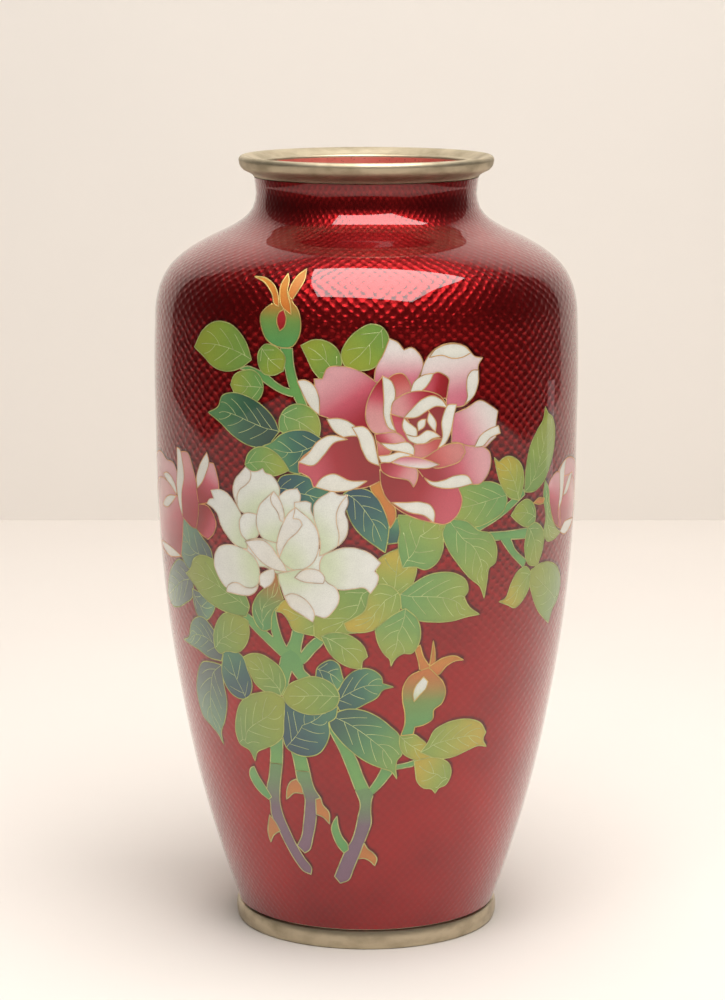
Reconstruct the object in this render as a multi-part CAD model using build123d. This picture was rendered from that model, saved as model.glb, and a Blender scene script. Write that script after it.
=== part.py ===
from build123d import *

import math
import os

# Cloisonne vase in silver wire and enamel on copper, in millimetres. The origin is on the axis
# at the plane the foot stands on, +Z is up, and the rose spray faces -Y.

# Driving dimensions
HEIGHT = 242.4            # 8 sun, the traditional size step of 30.3 mm
FOOT_HEIGHT = 6.4
WALL_TOP = 235.8          # where the neck wall meets the mouth ring
ENAMEL = 0.9              # depth of the enamel and of the wires standing in it
FOIL = 0.1
COPPER = 1.0
COUNTER_ENAMEL = 0.4
FLOOR = 1.0
BASE_ENAMEL = 0.8
FOOT_INNER_RADIUS = 38.4
WIRE = 0.35               # thickness of the silver wire along each cell
CORNER_ANGLE = 58.0       # an outline that turns more than this at a point has a corner there
DESIGN_RADIUS = 66.0      # arc lengths in the design are measured at this radius
SMALLEST_PIECE = 0.25     # mm3: slivers smaller than this are left out of the inlay
PRISM_START = 28.0        # the cells are cut from the wall by prisms between these distances
PRISM_LENGTH = 42.0       # from the axis

# Outer surface of the enamel, height and radius: an arc through each three points in turn
PROFILE = [
    (6.4, 40.8), (20, 45.4), (45, 52.6), (105, 63.2), (160, 65.9), (178, 66.1), (198, 65.3), (204, 63.6),
    (213, 55.9), (217, 49.1), (220, 42.8), (223, 38.0), (226, 35.4), (230, 34.3), (235.8, 34.8),
]

# The node that holds the wires of each kind of cell
WIRE_NODES = {
    "pink_rose_petals": "pink_rose_wires",
    "pink_rose_folds": "pink_rose_wires",
    "white_rose_petals": "white_rose_wires",
    "left_rose_petals": "side_rose_wires",
    "right_rose_petals": "side_rose_wires",
    "rose_buds": "bud_wires",
    "light_green_leaves": "leaf_wires",
    "green_leaves": "leaf_wires",
    "yellow_leaves": "leaf_wires",
    "teal_leaves": "leaf_wires",
    "blue_grey_leaves": "leaf_wires",
    "green_stems": "stem_wires",
    "brown_stems": "stem_wires",
    "thorns": "stem_wires",
}

# The rose spray, back to front. Each cell has its node and an outline on the unrolled surface:
# arc length around the vase (left to right as seen from the front) and height. The outline runs
# in arcs between its corners.
CELLS = [
    ("green_stems",
     [(-26, 190), (-24.5, 184), (-23, 178.5), (-20, 172.5), (-17.2, 172.5), (-20.1, 179.4), (-21.7, 185),
      (-22.2, 190)]),
    ("green_stems",
     [(-40, 183), (-35.5, 182.4), (-32.3, 180.2), (-29, 178.3), (-25, 176.5), (-20, 175.5), (-20, 178),
      (-24, 178.3), (-27.3, 179.8), (-30, 181.8), (-33.5, 183.2), (-37, 184)]),
    ("green_stems", [(34, 134), (44, 138.3), (53.5, 143.7), (52.7, 145.5), (43, 140.5), (34, 136.5)]),
    ("green_stems", [(37, 131.3), (44, 131), (56, 130), (56, 133.3), (45, 133.5), (37, 134)]),
    ("green_stems", [(43.5, 131.3), (48, 126.2), (54.3, 121), (55.5, 123.3), (50, 127.4), (47.2, 131.2)]),
    ("green_stems",
     [(-62, 118), (-50, 111.7), (-43, 109), (-38, 104.5), (-33, 100.5), (-27.7, 96.3), (-25.5, 99),
      (-32, 103.5), (-37, 107.5), (-42.5, 110.5), (-50, 113), (-61, 119.5)]),
    ("green_stems",
     [(-32.2, 112), (-31.3, 106), (-30, 101.5), (-27.5, 96), (-22, 96), (-25.8, 99.7), (-28, 105),
      (-29, 111), (-29, 114)]),
    ("green_stems",
     [(-23.3, 106), (-24.5, 102), (-25.8, 99.5), (-24, 96), (-21.7, 97), (-20.8, 100.5), (-19.3, 106)]),
    ("green_stems",
     [(-21.8, 97), (-18.5, 101.2), (-15.2, 103.7), (-12.8, 104.5), (-13.5, 102), (-16.5, 98.7),
      (-20.3, 94.8), (-24, 93)]),
    ("green_stems", [(-20.5, 95), (-20.5, 93.3), (-18.3, 91), (-22, 89), (-24.5, 92.2), (-26, 95)]),
    ("green_stems",
     [(-27.7, 96.8), (-29, 93.3), (-31, 90), (-30, 84), (-26.5, 84), (-26, 88.2), (-24.6, 92.2),
      (-22, 92.5), (-20.8, 94.7), (-22, 97.2), (-24.5, 99)]),
    ("green_stems", [(10, 61.3), (13.5, 61.7), (17.5, 62.8), (18, 64.3), (13.5, 63.2), (10, 62.8)]),
    ("green_stems", [(1, 55.2), (2.3, 53.2), (5.5, 56), (9.5, 60.5), (6, 63), (3.5, 58.5)]),
    ("green_stems",
     [(-13, 77), (-13.2, 75), (-12, 72.5), (-9.5, 67.8), (-7, 62), (-4, 54.5), (1.2, 54.8), (-1, 59),
      (-3.5, 65), (-6, 69), (-9.5, 73)]),
    ("brown_stems",
     [(-4, 54.5), (-2.3, 50), (-3.3, 45.5), (-4.3, 41.5), (-6, 37.5), (-8, 35), (-11, 30), (-13.8, 25),
      (-11.5, 22.7), (-7.5, 24.2), (-5.5, 27.8), (-3.3, 32), (-1, 36.8), (0.5, 40), (1.8, 43.5),
      (1.6, 48), (1.9, 51.5), (2.4, 53.3), (1, 55)]),
    ("thorns",
     [(-11.2, 45.8), (-12.7, 44), (-13.7, 41.5), (-13, 38.5), (-11.2, 35.2), (-9.2, 33.3), (-7.3, 34.5),
      (-7.5, 36.2), (-9.5, 38.7), (-10.8, 41.8)]),
    ("thorns",
     [(-1, 37), (0.4, 35), (2.8, 33.4), (4.3, 31.5), (3.5, 29), (1.5, 30.6), (-1, 31.6), (-3.4, 31.4)]),
    ("green_stems", [(-36, 70), (-35.3, 66), (-36, 61.5), (-31, 61.5), (-30.3, 66), (-29.8, 70)]),
    ("brown_stems",
     [(-36, 61.5), (-37.3, 57), (-39.2, 51.8), (-38.5, 48.5), (-38.8, 44), (-36.5, 39), (-33.5, 33),
      (-30.5, 28.5), (-28, 26), (-24.5, 25), (-23.8, 27), (-26.5, 30.5), (-29.3, 34.8), (-31.5, 39.5),
      (-33.3, 44), (-34, 48.5), (-33.3, 53), (-32, 58), (-31, 61.5)]),
    ("thorns",
     [(-43.6, 59.3), (-45.3, 58.6), (-46.5, 56.3), (-45.5, 53.7), (-42.5, 50.8), (-39, 49), (-37.5, 50),
      (-38.8, 52), (-41, 54.8), (-42.7, 57.3)]),
    ("thorns",
     [(-39.8, 43.7), (-41.3, 40.5), (-42.3, 37), (-41.8, 34.2), (-39.6, 36.8), (-36, 38.8),
      (-37.5, 41.5)]),
    ("green_stems", [(-27.5, 68), (-26.5, 64), (-26, 60), (-20.5, 60), (-21.3, 64), (-22, 68)]),
    ("brown_stems",
     [(-26, 60), (-25.6, 57), (-24.2, 54), (-23.3, 51), (-23.8, 47.5), (-25, 42.5), (-26.3, 38.3),
      (-29, 34.5), (-26, 32.3), (-23.8, 33.5), (-21.6, 38), (-20, 42.5), (-19.2, 46.5), (-19, 51),
      (-17.2, 51.7), (-19.2, 54.5), (-20, 57), (-20.5, 60)]),
    ("thorns",
     [(-26, 57.2), (-28.5, 56), (-30.2, 53.5), (-31, 50), (-29.8, 50.8), (-27.5, 52.4), (-23.8, 52.5),
      (-24.3, 55)]),
    ("thorns",
     [(-19.1, 51), (-17.1, 51.6), (-16.5, 49.5), (-14.3, 47), (-14.3, 43), (-16.8, 45.2), (-19.3, 46)]),
    ("teal_leaves",
     [(-16.5, 91), (-16, 93.5), (-13.8, 95.5), (-11, 96.4), (-9, 95.3), (-7.9, 92), (-7.2, 89.5),
      (-9.5, 87), (-13, 88)]),
    ("teal_leaves",
     [(-10.5, 85), (-9, 87.3), (-7, 90.5), (-3.8, 93.2), (0, 94), (3.2, 92.8), (4.9, 91), (5.2, 89.2),
      (8.8, 88), (5.2, 87), (3.5, 84.8), (0, 82.9), (-4, 81), (-9, 80.5)]),
    ("teal_leaves",
     [(-12, 79), (-6, 81), (-1.5, 80.7), (3.5, 78.7), (8, 75.4), (11.2, 72.3), (12, 69), (12.4, 66.2),
      (10.8, 64.3), (10.4, 62), (10.9, 58.2), (8.9, 60.6), (5.5, 61.8), (0, 64), (-5, 67.2), (-9.5, 71.3),
      (-12.5, 76)]),
    ("blue_grey_leaves",
     [(-28.5, 83), (-20, 82), (-9.5, 81.5), (-10.5, 78), (-12.8, 76.5), (-12.6, 73), (-14, 69.3),
      (-16.5, 66.4), (-21, 65), (-25.5, 65.5), (-28.7, 67.3), (-29.8, 71), (-29.5, 77)]),
    ("light_green_leaves",
     [(-42.9, 94.5), (-39.8, 96), (-35.5, 96.5), (-31.5, 95), (-28.7, 93), (-27, 88), (-29, 84),
      (-35, 84.6), (-38.5, 86.7), (-40.7, 90.5)]),
    ("light_green_leaves",
     [(-27.7, 83), (-32, 84.7), (-37.5, 84), (-42.5, 82.2), (-46.5, 79), (-49, 74.5), (-50.2, 69.5),
      (-49.2, 66.2), (-44.5, 64.2), (-42.8, 61.2), (-41.2, 64.2), (-37.5, 66), (-33, 68), (-30, 70.5),
      (-28.8, 76)]),
    ("light_green_leaves",
     [(-28.5, 84), (-25.5, 88), (-22, 89.7), (-18, 90.9), (-13.5, 90.2), (-10.3, 88), (-8.9, 85),
      (-10, 81.8), (-13.5, 79.7), (-18, 78.7), (-22.5, 79.2), (-27.5, 82)]),
    ("yellow_leaves",
     [(11.3, 72.3), (13.5, 72.8), (16.5, 72.4), (19, 70.8), (21.5, 68.7), (24, 65.5), (20, 63.6),
      (16, 64.6), (12.8, 66.5), (11.5, 69)]),
    ("yellow_leaves",
     [(19, 66.5), (21.5, 69.5), (23.5, 73.2), (27, 75), (32, 75.9), (37.5, 75.4), (42, 73.5),
      (44.7, 70.3), (43.9, 68.2), (45.9, 65.5), (42, 66.3), (37, 65.3), (32, 64), (25.5, 64)]),
    ("yellow_leaves",
     [(16.9, 63.7), (17.6, 60.5), (18.5, 57), (21, 54.7), (24.5, 53.9), (26, 52.5), (27, 53.9), (30, 55),
      (31.6, 58), (30.8, 61.3), (28, 63.4), (23, 64.5)]),
    ("rose_buds",
     [(17.5, 91), (16.8, 95), (15.3, 99.7), (17, 100.9), (18.2, 97.3), (20.5, 93.5), (20.5, 90)]),
    ("rose_buds", [(19.8, 91), (20.5, 95), (20.9, 98.3), (21.3, 102), (22.1, 98), (22.3, 94), (22, 91)]),
    ("rose_buds",
     [(20.5, 94), (25, 96.3), (29, 96.6), (32.3, 95), (29.5, 95), (26.5, 93.8), (23.5, 91), (20.5, 91)]),
    ("rose_buds",
     [(17.5, 92.8), (14, 91.2), (12, 88), (11.9, 83.5), (12.8, 79.5), (12.9, 76), (11.7, 72.3),
      (16, 72.5), (16.5, 74.8), (19.8, 75.4), (22.7, 77.2), (22.8, 79.8), (25.5, 81.8), (26.6, 85),
      (25.5, 88.5), (22.8, 91.3), (20.2, 93.6)]),
    ("rose_buds",
     [(18.6, 90.8), (20.2, 89.2), (19.6, 87), (17.8, 85.2), (15.8, 83), (15.3, 85), (16, 87.8)]),
    ("blue_grey_leaves",
     [(-89, 107), (-84, 113), (-78, 118), (-71, 121), (-66.5, 119.5), (-64, 115.5), (-64.5, 111),
      (-70.5, 107.3), (-77, 105), (-84, 104.5)]),
    ("blue_grey_leaves",
     [(-71.5, 134.5), (-66, 134.4), (-61.5, 133.3), (-57, 130), (-53.3, 126.8), (-52.3, 123), (-58, 121),
      (-66.5, 119.3), (-70.3, 123), (-72, 128.5)]),
    ("blue_grey_leaves",
     [(-64.7, 113), (-64.5, 108.5), (-63, 105), (-58.5, 104), (-54.3, 107), (-52.5, 110), (-58, 112)]),
    ("blue_grey_leaves",
     [(-75.5, 94.9), (-70.3, 97), (-68.3, 100.7), (-65, 103.5), (-60, 104.7), (-54.8, 101.5), (-51, 95.5),
      (-52.7, 92), (-59, 92.1), (-65, 93.6), (-70, 94.2)]),
    ("blue_grey_leaves",
     [(-52.8, 90.7), (-58, 90.8), (-63.5, 89.8), (-68, 85.3), (-71, 78.5), (-69.5, 71.7), (-64, 69),
      (-60.5, 67), (-58.3, 64.2), (-58.5, 67.5), (-55.2, 72.5), (-52.6, 79), (-53, 85)]),
    ("blue_grey_leaves",
     [(-50.5, 95.7), (-46, 96.3), (-42.7, 94.8), (-41.3, 91), (-40, 87), (-41, 83.2), (-44.7, 81),
      (-48.5, 81.5), (-52, 84.3), (-53.2, 88), (-52.2, 92)]),
    ("light_green_leaves",
     [(-55.3, 95.8), (-55.2, 99.5), (-53, 104), (-49, 107.6), (-44, 108.3), (-39.3, 106.5),
      (-39.2, 102.5), (-41.3, 98.3), (-44.3, 96), (-49.5, 95.6), (-53, 94.4)]),
    ("light_green_leaves",
     [(-67.8, 117.3), (-65, 119), (-62.5, 122.5), (-58.5, 124.3), (-52, 123.8), (-45, 119.5),
      (-40.3, 115.2), (-38.5, 111), (-40, 107.8), (-45, 107.8), (-52, 109), (-59, 111.6), (-64, 115)]),
    ("yellow_leaves",
     [(-28.4, 123), (-29.3, 120.3), (-32, 117.8), (-35.5, 114.5), (-37.3, 111), (-36.9, 107),
      (-36, 105.5), (-34, 104), (-30.9, 104.9), (-30, 110), (-26, 114), (-27.3, 118), (-27.8, 121)]),
    ("yellow_leaves",
     [(-29, 110.5), (-27, 113.3), (-24.5, 115), (-16, 112), (-14, 108), (-16, 103.8), (-20, 104.3),
      (-23.4, 105.3), (-25, 108.3), (-27, 110.3)]),
    ("light_green_leaves",
     [(-16.5, 103.8), (-16.5, 109.5), (-12, 111), (-9, 114), (-8, 119), (-3, 121), (1, 118), (1, 112),
      (3, 108.3), (2.3, 106.2), (-2, 105.3), (-7, 104.6), (-13, 102)]),
    ("yellow_leaves",
     [(3, 124.5), (3.5, 127.5), (6.5, 129.6), (10, 131), (15, 127), (14.8, 122), (13.7, 119.4),
      (10, 116.6), (5, 118)]),
    ("yellow_leaves",
     [(-0.3, 112.5), (0.8, 117), (2.5, 120), (5.5, 120.1), (8.5, 118.7), (10.2, 116.5), (10.7, 113.7),
      (9, 110.5), (5.5, 107.8), (2.4, 106.1), (-2.5, 105.2), (-6, 105.8), (-7, 108)]),
    ("light_green_leaves",
     [(-14.3, 103.8), (-13, 100.8), (-11.2, 98), (-8.6, 95.8), (-5, 94.2), (-1.6, 93.8), (-1.2, 96.3),
      (0.3, 97.7), (-0.7, 100.6), (-3.3, 103.2), (-6, 104.6), (-11, 105)]),
    ("green_leaves",
     [(10.2, 116.9), (14, 119.8), (18.6, 122.3), (23, 123), (28, 122.2), (31.8, 119.3), (32.3, 116.3),
      (31.1, 114.8), (32.7, 112), (37, 108.8), (32.3, 108.5), (27.5, 107.7), (21, 107.8), (15.5, 108.8),
      (11.5, 111)]),
    ("green_leaves",
     [(2.6, 106.3), (3.4, 102.5), (6, 98), (7.3, 96.8), (7.8, 94.6), (8.7, 96.4), (11.5, 98.4),
      (14.3, 98.4), (16.3, 100.8), (17, 105), (15.8, 109), (12, 112.5), (8.5, 110.8)]),
    ("green_leaves",
     [(9.4, 141), (9.5, 134), (9.7, 129.5), (10.9, 124.9), (14.7, 125.1), (18, 124.1), (21, 125.5),
      (23.3, 129.5), (23.5, 134.5), (24.5, 140)]),
    ("green_leaves",
     [(45, 140.5), (39, 137), (35, 136), (28, 137), (22, 136), (24, 148), (28.6, 149), (34, 149.3),
      (40, 149), (43.5, 147.3), (45.8, 142.8)]),
    ("green_leaves",
     [(23.2, 134.8), (24.5, 131), (28, 125.8), (33, 120.3), (36.7, 117.3), (38.4, 113.7), (39.2, 119),
      (39.9, 123), (41.8, 124), (42.5, 127.5), (41.3, 131.3), (39.5, 133.5), (35.5, 134.7), (31, 138),
      (25, 139)]),
    ("green_leaves",
     [(63, 169.3), (61.8, 165.5), (59, 162.8), (55.5, 158), (53.8, 152), (53.2, 144.5), (58, 144.2),
      (62.5, 146.3), (66.5, 151), (69, 157), (69, 162.5), (67.2, 165.8), (64.7, 167.2)]),
    ("yellow_leaves",
     [(40.5, 156.3), (42.3, 154.9), (45.2, 156.2), (49, 155.3), (52, 152.3), (52.9, 148.5), (52, 144.5),
      (50.8, 142.3), (46.5, 143.8), (43.3, 147.8), (41.5, 152.5)]),
    ("light_green_leaves",
     [(47.6, 138), (50.5, 141), (54.5, 142.2), (57.8, 140.3), (59.2, 136.5), (58.5, 133.7), (53.5, 134),
      (50, 136)]),
    ("light_green_leaves",
     [(55.3, 133.4), (59, 134.4), (62, 133), (64.5, 130), (64, 125.5), (61.5, 120.5), (56.5, 122),
      (54.3, 127)]),
    ("yellow_leaves",
     [(44.4, 111.8), (47, 112.6), (49, 116.7), (51.5, 120.1), (55.5, 121.3), (58.5, 119), (58, 114.7),
      (55.3, 111), (51.5, 109), (48.3, 110.3)]),
    ("green_leaves",
     [(58.3, 119.8), (63, 121), (70.5, 120.2), (76.5, 117.2), (80.3, 111.5), (79, 107.5), (74.8, 104.5),
      (72.8, 100.7), (69, 102.8), (64, 106.3), (60, 111.5), (58, 116)]),
    ("light_green_leaves",
     [(-59.2, 187.8), (-55.5, 193), (-49.5, 196.3), (-43, 195.7), (-38, 191.5), (-35.6, 186),
      (-39.5, 183.3), (-45, 181.9), (-50.5, 182.9), (-55, 185.7)]),
    ("light_green_leaves",
     [(-31, 190.8), (-33.2, 188.5), (-33.3, 185), (-31.5, 182.2), (-28.5, 181.8), (-25, 183.3),
      (-24.5, 187.5), (-27, 190)]),
    ("green_leaves",
     [(-43.3, 178), (-42, 180.8), (-38.5, 182.6), (-35, 182.9), (-32.3, 180.8), (-31.6, 177.5),
      (-33.5, 174), (-37, 173), (-41, 174.7)]),
    ("green_leaves",
     [(-26.4, 165.5), (-26.3, 169), (-24.5, 172), (-21, 173.7), (-17.5, 173.2), (-14.8, 171),
      (-13.7, 168), (-14, 164), (-20, 163)]),
    ("teal_leaves",
     [(-52.7, 168.8), (-48.2, 171.2), (-46.8, 174.2), (-42.5, 175.7), (-37, 175), (-31.5, 172.3),
      (-28, 168.8), (-26.4, 165.2), (-31.5, 160.2), (-36, 160.2), (-42, 162.5), (-48, 166.5)]),
    ("blue_grey_leaves",
     [(-28, 148), (-26, 151.7), (-22, 152.7), (-17.5, 152), (-14, 150), (-10, 147), (-14, 141),
      (-21, 142), (-25, 145)]),
    ("teal_leaves",
     [(-32, 160.5), (-29, 161.8), (-26, 164.3), (-22, 165.8), (-17.3, 165.8), (-13, 163.5), (-14, 157),
      (-20, 153), (-24.5, 154), (-27.5, 157.5)]),
    ("green_leaves",
     [(-38.3, 154.5), (-37.3, 157.5), (-34.5, 159.8), (-31.5, 160.3), (-28, 159), (-25.2, 156.5),
      (-23.4, 153.8), (-27, 152.2), (-36.5, 152.5)]),
    ("light_green_leaves",
     [(-19.6, 191), (-15.5, 192.8), (-11.5, 192.3), (-8.5, 190), (-7.3, 186), (-9, 182), (-13.6, 181.2),
      (-16, 184), (-17.5, 187)]),
    ("light_green_leaves",
     [(-7.5, 188.2), (-5.8, 192.5), (-2.5, 195.8), (1.2, 197.5), (4.5, 196.7), (6.5, 193.5), (6, 190),
      (4.2, 187), (2, 184.8), (-1.5, 184), (-5.5, 184.5)]),
    ("teal_leaves", [(6, 137), (9.3, 140.3), (9.9, 136), (9.3, 132.6), (6.3, 132.3)]),
    ("blue_grey_leaves",
     [(-6.8, 147.5), (-4, 149), (0.5, 148.5), (4, 145.5), (6.5, 140.5), (6.5, 135), (5.6, 129.7),
      (2.3, 132), (-1.3, 134.8), (-4.2, 138.3), (-5.8, 142)]),
    ("rose_buds",
     [(3.8, 153.8), (1, 151.3), (1.3, 148.7), (3.8, 145.3), (5.6, 141.5), (7, 137), (8.6, 140),
      (8.5, 143), (6.3, 146.3), (4.8, 149.5)]),
    ("rose_buds",
     [(-32.9, 199.4), (-32.3, 195.6), (-30.4, 192.1), (-27.9, 190.6), (-25.8, 190.1), (-22.3, 190.6),
      (-20.3, 193.3), (-19.9, 198.6), (-21.2, 201.7), (-22.9, 203.4), (-24.3, 206), (-26.9, 206.6),
      (-28.1, 203.6), (-30.8, 201.9)]),
    ("rose_buds",
     [(-23.1, 204), (-21.7, 206.5), (-20.4, 209.7), (-20.9, 212.6), (-23.1, 210.8), (-24.5, 207.5),
      (-24.6, 205.5)]),
    ("rose_buds",
     [(-27.1, 202), (-28, 205), (-29.6, 207.3), (-34.6, 209.7), (-38.8, 209.9), (-33.5, 208.2),
      (-30.2, 205.4), (-28.4, 202.4)]),
    ("rose_buds",
     [(-22.9, 199.8), (-23.4, 202.4), (-25.2, 206.4), (-25.6, 209.3), (-26.9, 211.2), (-27.9, 208.2),
      (-27.5, 205.3), (-26.2, 202.1)]),
    ("rose_buds",
     [(-27.4, 197.7), (-26.8, 200.4), (-25.4, 201.2), (-24.4, 198.5), (-25, 196), (-26.3, 195)]),
    ("left_rose_petals",
     [(-104, 135), (-102, 144), (-95, 150), (-86, 152.5), (-78.6, 151), (-72.7, 150.5), (-70, 147),
      (-72, 140), (-80, 134), (-92, 130)]),
    ("left_rose_petals",
     [(-83, 146), (-79, 147), (-74.5, 146), (-72, 144), (-71, 141.5), (-75.5, 142.5), (-79.5, 144.5)]),
    ("left_rose_petals",
     [(-104, 128), (-98, 138), (-88, 144), (-80, 144.5), (-72, 141.5), (-67.5, 137), (-68, 131),
      (-70.3, 122.5), (-80, 120.8), (-92, 121.5)]),
    ("left_rose_petals",
     [(-92, 123.5), (-86, 121.5), (-80.5, 120.6), (-75, 121.2), (-70, 122.2), (-76, 123.5), (-84, 124)]),
    ("left_rose_petals",
     [(-85, 136), (-81, 138.8), (-76.5, 140.3), (-71.5, 140.8), (-75, 138.3), (-80, 136)]),
    ("left_rose_petals",
     [(-70, 154), (-66.5, 155.2), (-63.5, 155.2), (-61.3, 152), (-59.3, 147), (-57.5, 141), (-57, 135),
      (-60, 132.6), (-67.7, 134.7), (-68.5, 142)]),
    ("left_rose_petals",
     [(-70.3, 156), (-68.4, 155.7), (-67, 152.7), (-66, 147.7), (-67.7, 142.3), (-67.7, 135),
      (-69.8, 138.6), (-71, 144), (-70.3, 150)]),
    ("left_rose_petals",
     [(-54, 153.5), (-50.7, 153.5), (-49.3, 150), (-48.7, 146), (-51, 142.5), (-54.5, 141),
      (-58.2, 140.2), (-59, 146), (-57, 151)]),
    ("left_rose_petals",
     [(-53.7, 156.6), (-52.8, 154), (-54.3, 150), (-56.5, 146.8), (-58.6, 145), (-59, 148),
      (-57.3, 152.2)]),
    ("left_rose_petals",
     [(-58.2, 140.2), (-54, 140.2), (-51.2, 137.7), (-50.3, 135.2), (-51.6, 132), (-54.3, 129.8),
      (-57.3, 130.9), (-60, 132.5), (-58.8, 136)]),
    ("right_rose_petals",
     [(71, 147.5), (78, 151), (88, 150), (96, 146), (101, 139), (98, 132), (90, 128.5), (80, 129),
      (73, 131.5), (69, 138)]),
    ("right_rose_petals",
     [(73.3, 148), (75.7, 150.2), (79, 151.3), (77.8, 148), (77.2, 144), (75.8, 138.8), (73.4, 136),
      (73.8, 141)]),
    ("right_rose_petals",
     [(77.4, 146), (84, 145.5), (91, 142), (96, 136), (92, 131.5), (84, 131.3), (76.5, 130.2), (75, 136),
      (76.8, 141)]),
    ("right_rose_petals", [(77, 140), (80, 143.5), (83.2, 145.6), (87, 145.9), (83.5, 142.6), (80, 140.3)]),
    ("right_rose_petals", [(75.5, 129), (79.5, 131.3), (85, 131.3), (92, 130.5), (86, 128.3), (80, 127.5)]),
    ("right_rose_petals",
     [(66.3, 145.5), (68.6, 147.4), (71.4, 148.3), (73.5, 147.8), (74, 141), (73.3, 136), (74.8, 130.3),
      (71, 132.3), (68, 136.5), (66, 141)]),
    ("green_leaves",
     [(63, 142.5), (63.7, 147), (66, 144), (67, 139), (69, 134.5), (72, 131), (76, 128.8), (71, 127.4),
      (66.5, 127.6), (64.4, 129.5), (64.8, 135)]),
    ("rose_buds", [(57.8, 140.6), (60.5, 141.8), (63.7, 141.3), (63.2, 139.8), (60.5, 139.8)]),
    ("white_rose_petals",
     [(-52, 120.7), (-51.2, 124.5), (-49.3, 128), (-45.3, 129.6), (-39, 129), (-34, 127), (-33, 121.8),
      (-34.8, 117.5), (-38, 116.5), (-42.5, 117.5), (-47.1, 116.5), (-50.5, 118.5)]),
    ("white_rose_petals",
     [(-47.7, 114.9), (-46.7, 116.9), (-43.5, 118.1), (-39, 117.3), (-34.5, 118.3), (-36.2, 115.9),
      (-39.2, 114.4), (-43.5, 114.3)]),
    ("white_rose_petals",
     [(-34.1, 121.2), (-32.8, 123.2), (-29.8, 124.5), (-28.8, 122.3), (-29.8, 120), (-31.5, 118.2),
      (-33.8, 117.4), (-34.5, 119)]),
    ("white_rose_petals",
     [(-27.5, 131), (-36, 133), (-37, 152.6), (-34.5, 153.5), (-32.3, 154.2), (-29.3, 152.5),
      (-27.2, 150.3), (-26, 147), (-26, 139)]),
    ("white_rose_petals",
     [(-38.5, 154.5), (-39.3, 152.3), (-41.6, 150), (-42.8, 146.5), (-42, 142.5), (-40.5, 139.7),
      (-39.8, 145.5), (-36.8, 149.5), (-36.2, 152.3), (-37.3, 153.3)]),
    ("white_rose_petals",
     [(-54.2, 141.3), (-52.5, 142.4), (-52.2, 145.1), (-49.5, 145.9), (-46.5, 145.7), (-43.5, 143.7),
      (-41, 141), (-39.5, 136), (-38.5, 128.6), (-43.5, 129.7), (-47, 132), (-50.3, 136.6)]),
    ("white_rose_petals",
     [(-40.7, 137.5), (-39.5, 139.5), (-37.5, 140.3), (-34, 140.3), (-33.8, 136.4), (-33.5, 132.5),
      (-37.5, 131.5), (-40.5, 133)]),
    ("white_rose_petals",
     [(-34.1, 140.4), (-32.3, 143), (-29.6, 145.8), (-28.2, 147.4), (-26.5, 146), (-26.3, 141.4),
      (-27, 136.4), (-28, 131.5), (-30.7, 130.8), (-33.7, 132.5), (-34.8, 136.4)]),
    ("white_rose_petals",
     [(-38.5, 129.7), (-36, 131.2), (-32, 130.9), (-28.5, 128.8), (-26, 125.7), (-24.2, 123),
      (-28, 123.2), (-32, 124.6), (-35.7, 127)]),
    ("white_rose_petals",
     [(-16, 142.5), (-15, 144.3), (-12, 146.8), (-9.8, 148.5), (-8.3, 147.4), (-6.5, 147.5),
      (-5.2, 144.5), (-5.8, 142), (-5.4, 137), (-6.3, 133), (-9.5, 129.5), (-15, 127.5)]),
    ("white_rose_petals",
     [(-26.2, 146.5), (-24, 147.7), (-20.8, 148.8), (-19.8, 147), (-19, 143.5), (-22.5, 141.5),
      (-26.5, 138)]),
    ("white_rose_petals",
     [(-13, 126.5), (-9.8, 130), (-6.5, 131.3), (-2.5, 131.3), (1.5, 129.8), (4.4, 127), (2.5, 124.5),
      (3.4, 122.3), (2.4, 119.5), (1.3, 116.2), (-0.5, 118.1), (-3.7, 119.1), (-7.3, 118.6),
      (-10.5, 118.5), (-13.5, 121.5)]),
    ("white_rose_petals",
     [(-27.8, 124.5), (-27.8, 120.5), (-26.3, 116.2), (-24.2, 112.8), (-20.5, 110.5), (-16.6, 107.8),
      (-16.2, 109.9), (-12.3, 109.8), (-9.5, 112.4), (-8.4, 116), (-9, 118.5), (-11.5, 120.8),
      (-13, 124.5), (-16, 127), (-23, 127)]),
    ("white_rose_petals",
     [(-22, 122), (-20, 123.9), (-16.5, 124.5), (-14.2, 123.8), (-12.8, 121.3), (-15.5, 120.2),
      (-19.5, 120.4)]),
    ("white_rose_petals",
     [(-19.8, 145.6), (-17.8, 144.5), (-16, 143), (-15.3, 140), (-14.4, 135.5), (-14.5, 131),
      (-16, 127.7), (-19.5, 125.5), (-23.5, 125.7), (-26.3, 128.5), (-27.5, 132.7), (-26.3, 137),
      (-23.5, 141.3), (-21.5, 143.5)]),
    ("pink_rose_petals",
     [(-15.5, 181.3), (-13, 181.4), (-11.5, 184.6), (-7.5, 185.2), (-2, 183.8), (3.3, 180.3), (2.5, 172),
      (1, 166.5), (-4.5, 168), (-10, 169.5), (-14.2, 170.8)]),
    ("pink_rose_folds",
     [(-20.7, 180.6), (-18.3, 180.9), (-15.7, 179.5), (-14.2, 176.5), (-13.9, 170.7), (-16.2, 172.5),
      (-18.5, 176)]),
    ("pink_rose_folds",
     [(-11.8, 169.6), (-8, 169.8), (-5, 168.8), (-2, 165.5), (-2, 163.3), (-6, 164), (-9.5, 166)]),
    ("pink_rose_petals",
     [(-20.4, 155.8), (-14, 161.5), (-8, 164), (-2, 164.5), (4, 156.5), (6, 152.5), (1.5, 150),
      (-15.9, 149.2), (-16.8, 151.6), (-20.4, 153.5)]),
    ("pink_rose_folds",
     [(-20.5, 156.4), (-17.5, 159), (-14.5, 162.8), (-11, 164.7), (-5.5, 163.7), (-9.5, 162.6),
      (-12.5, 159), (-16, 155.6)]),
    ("pink_rose_folds",
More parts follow.
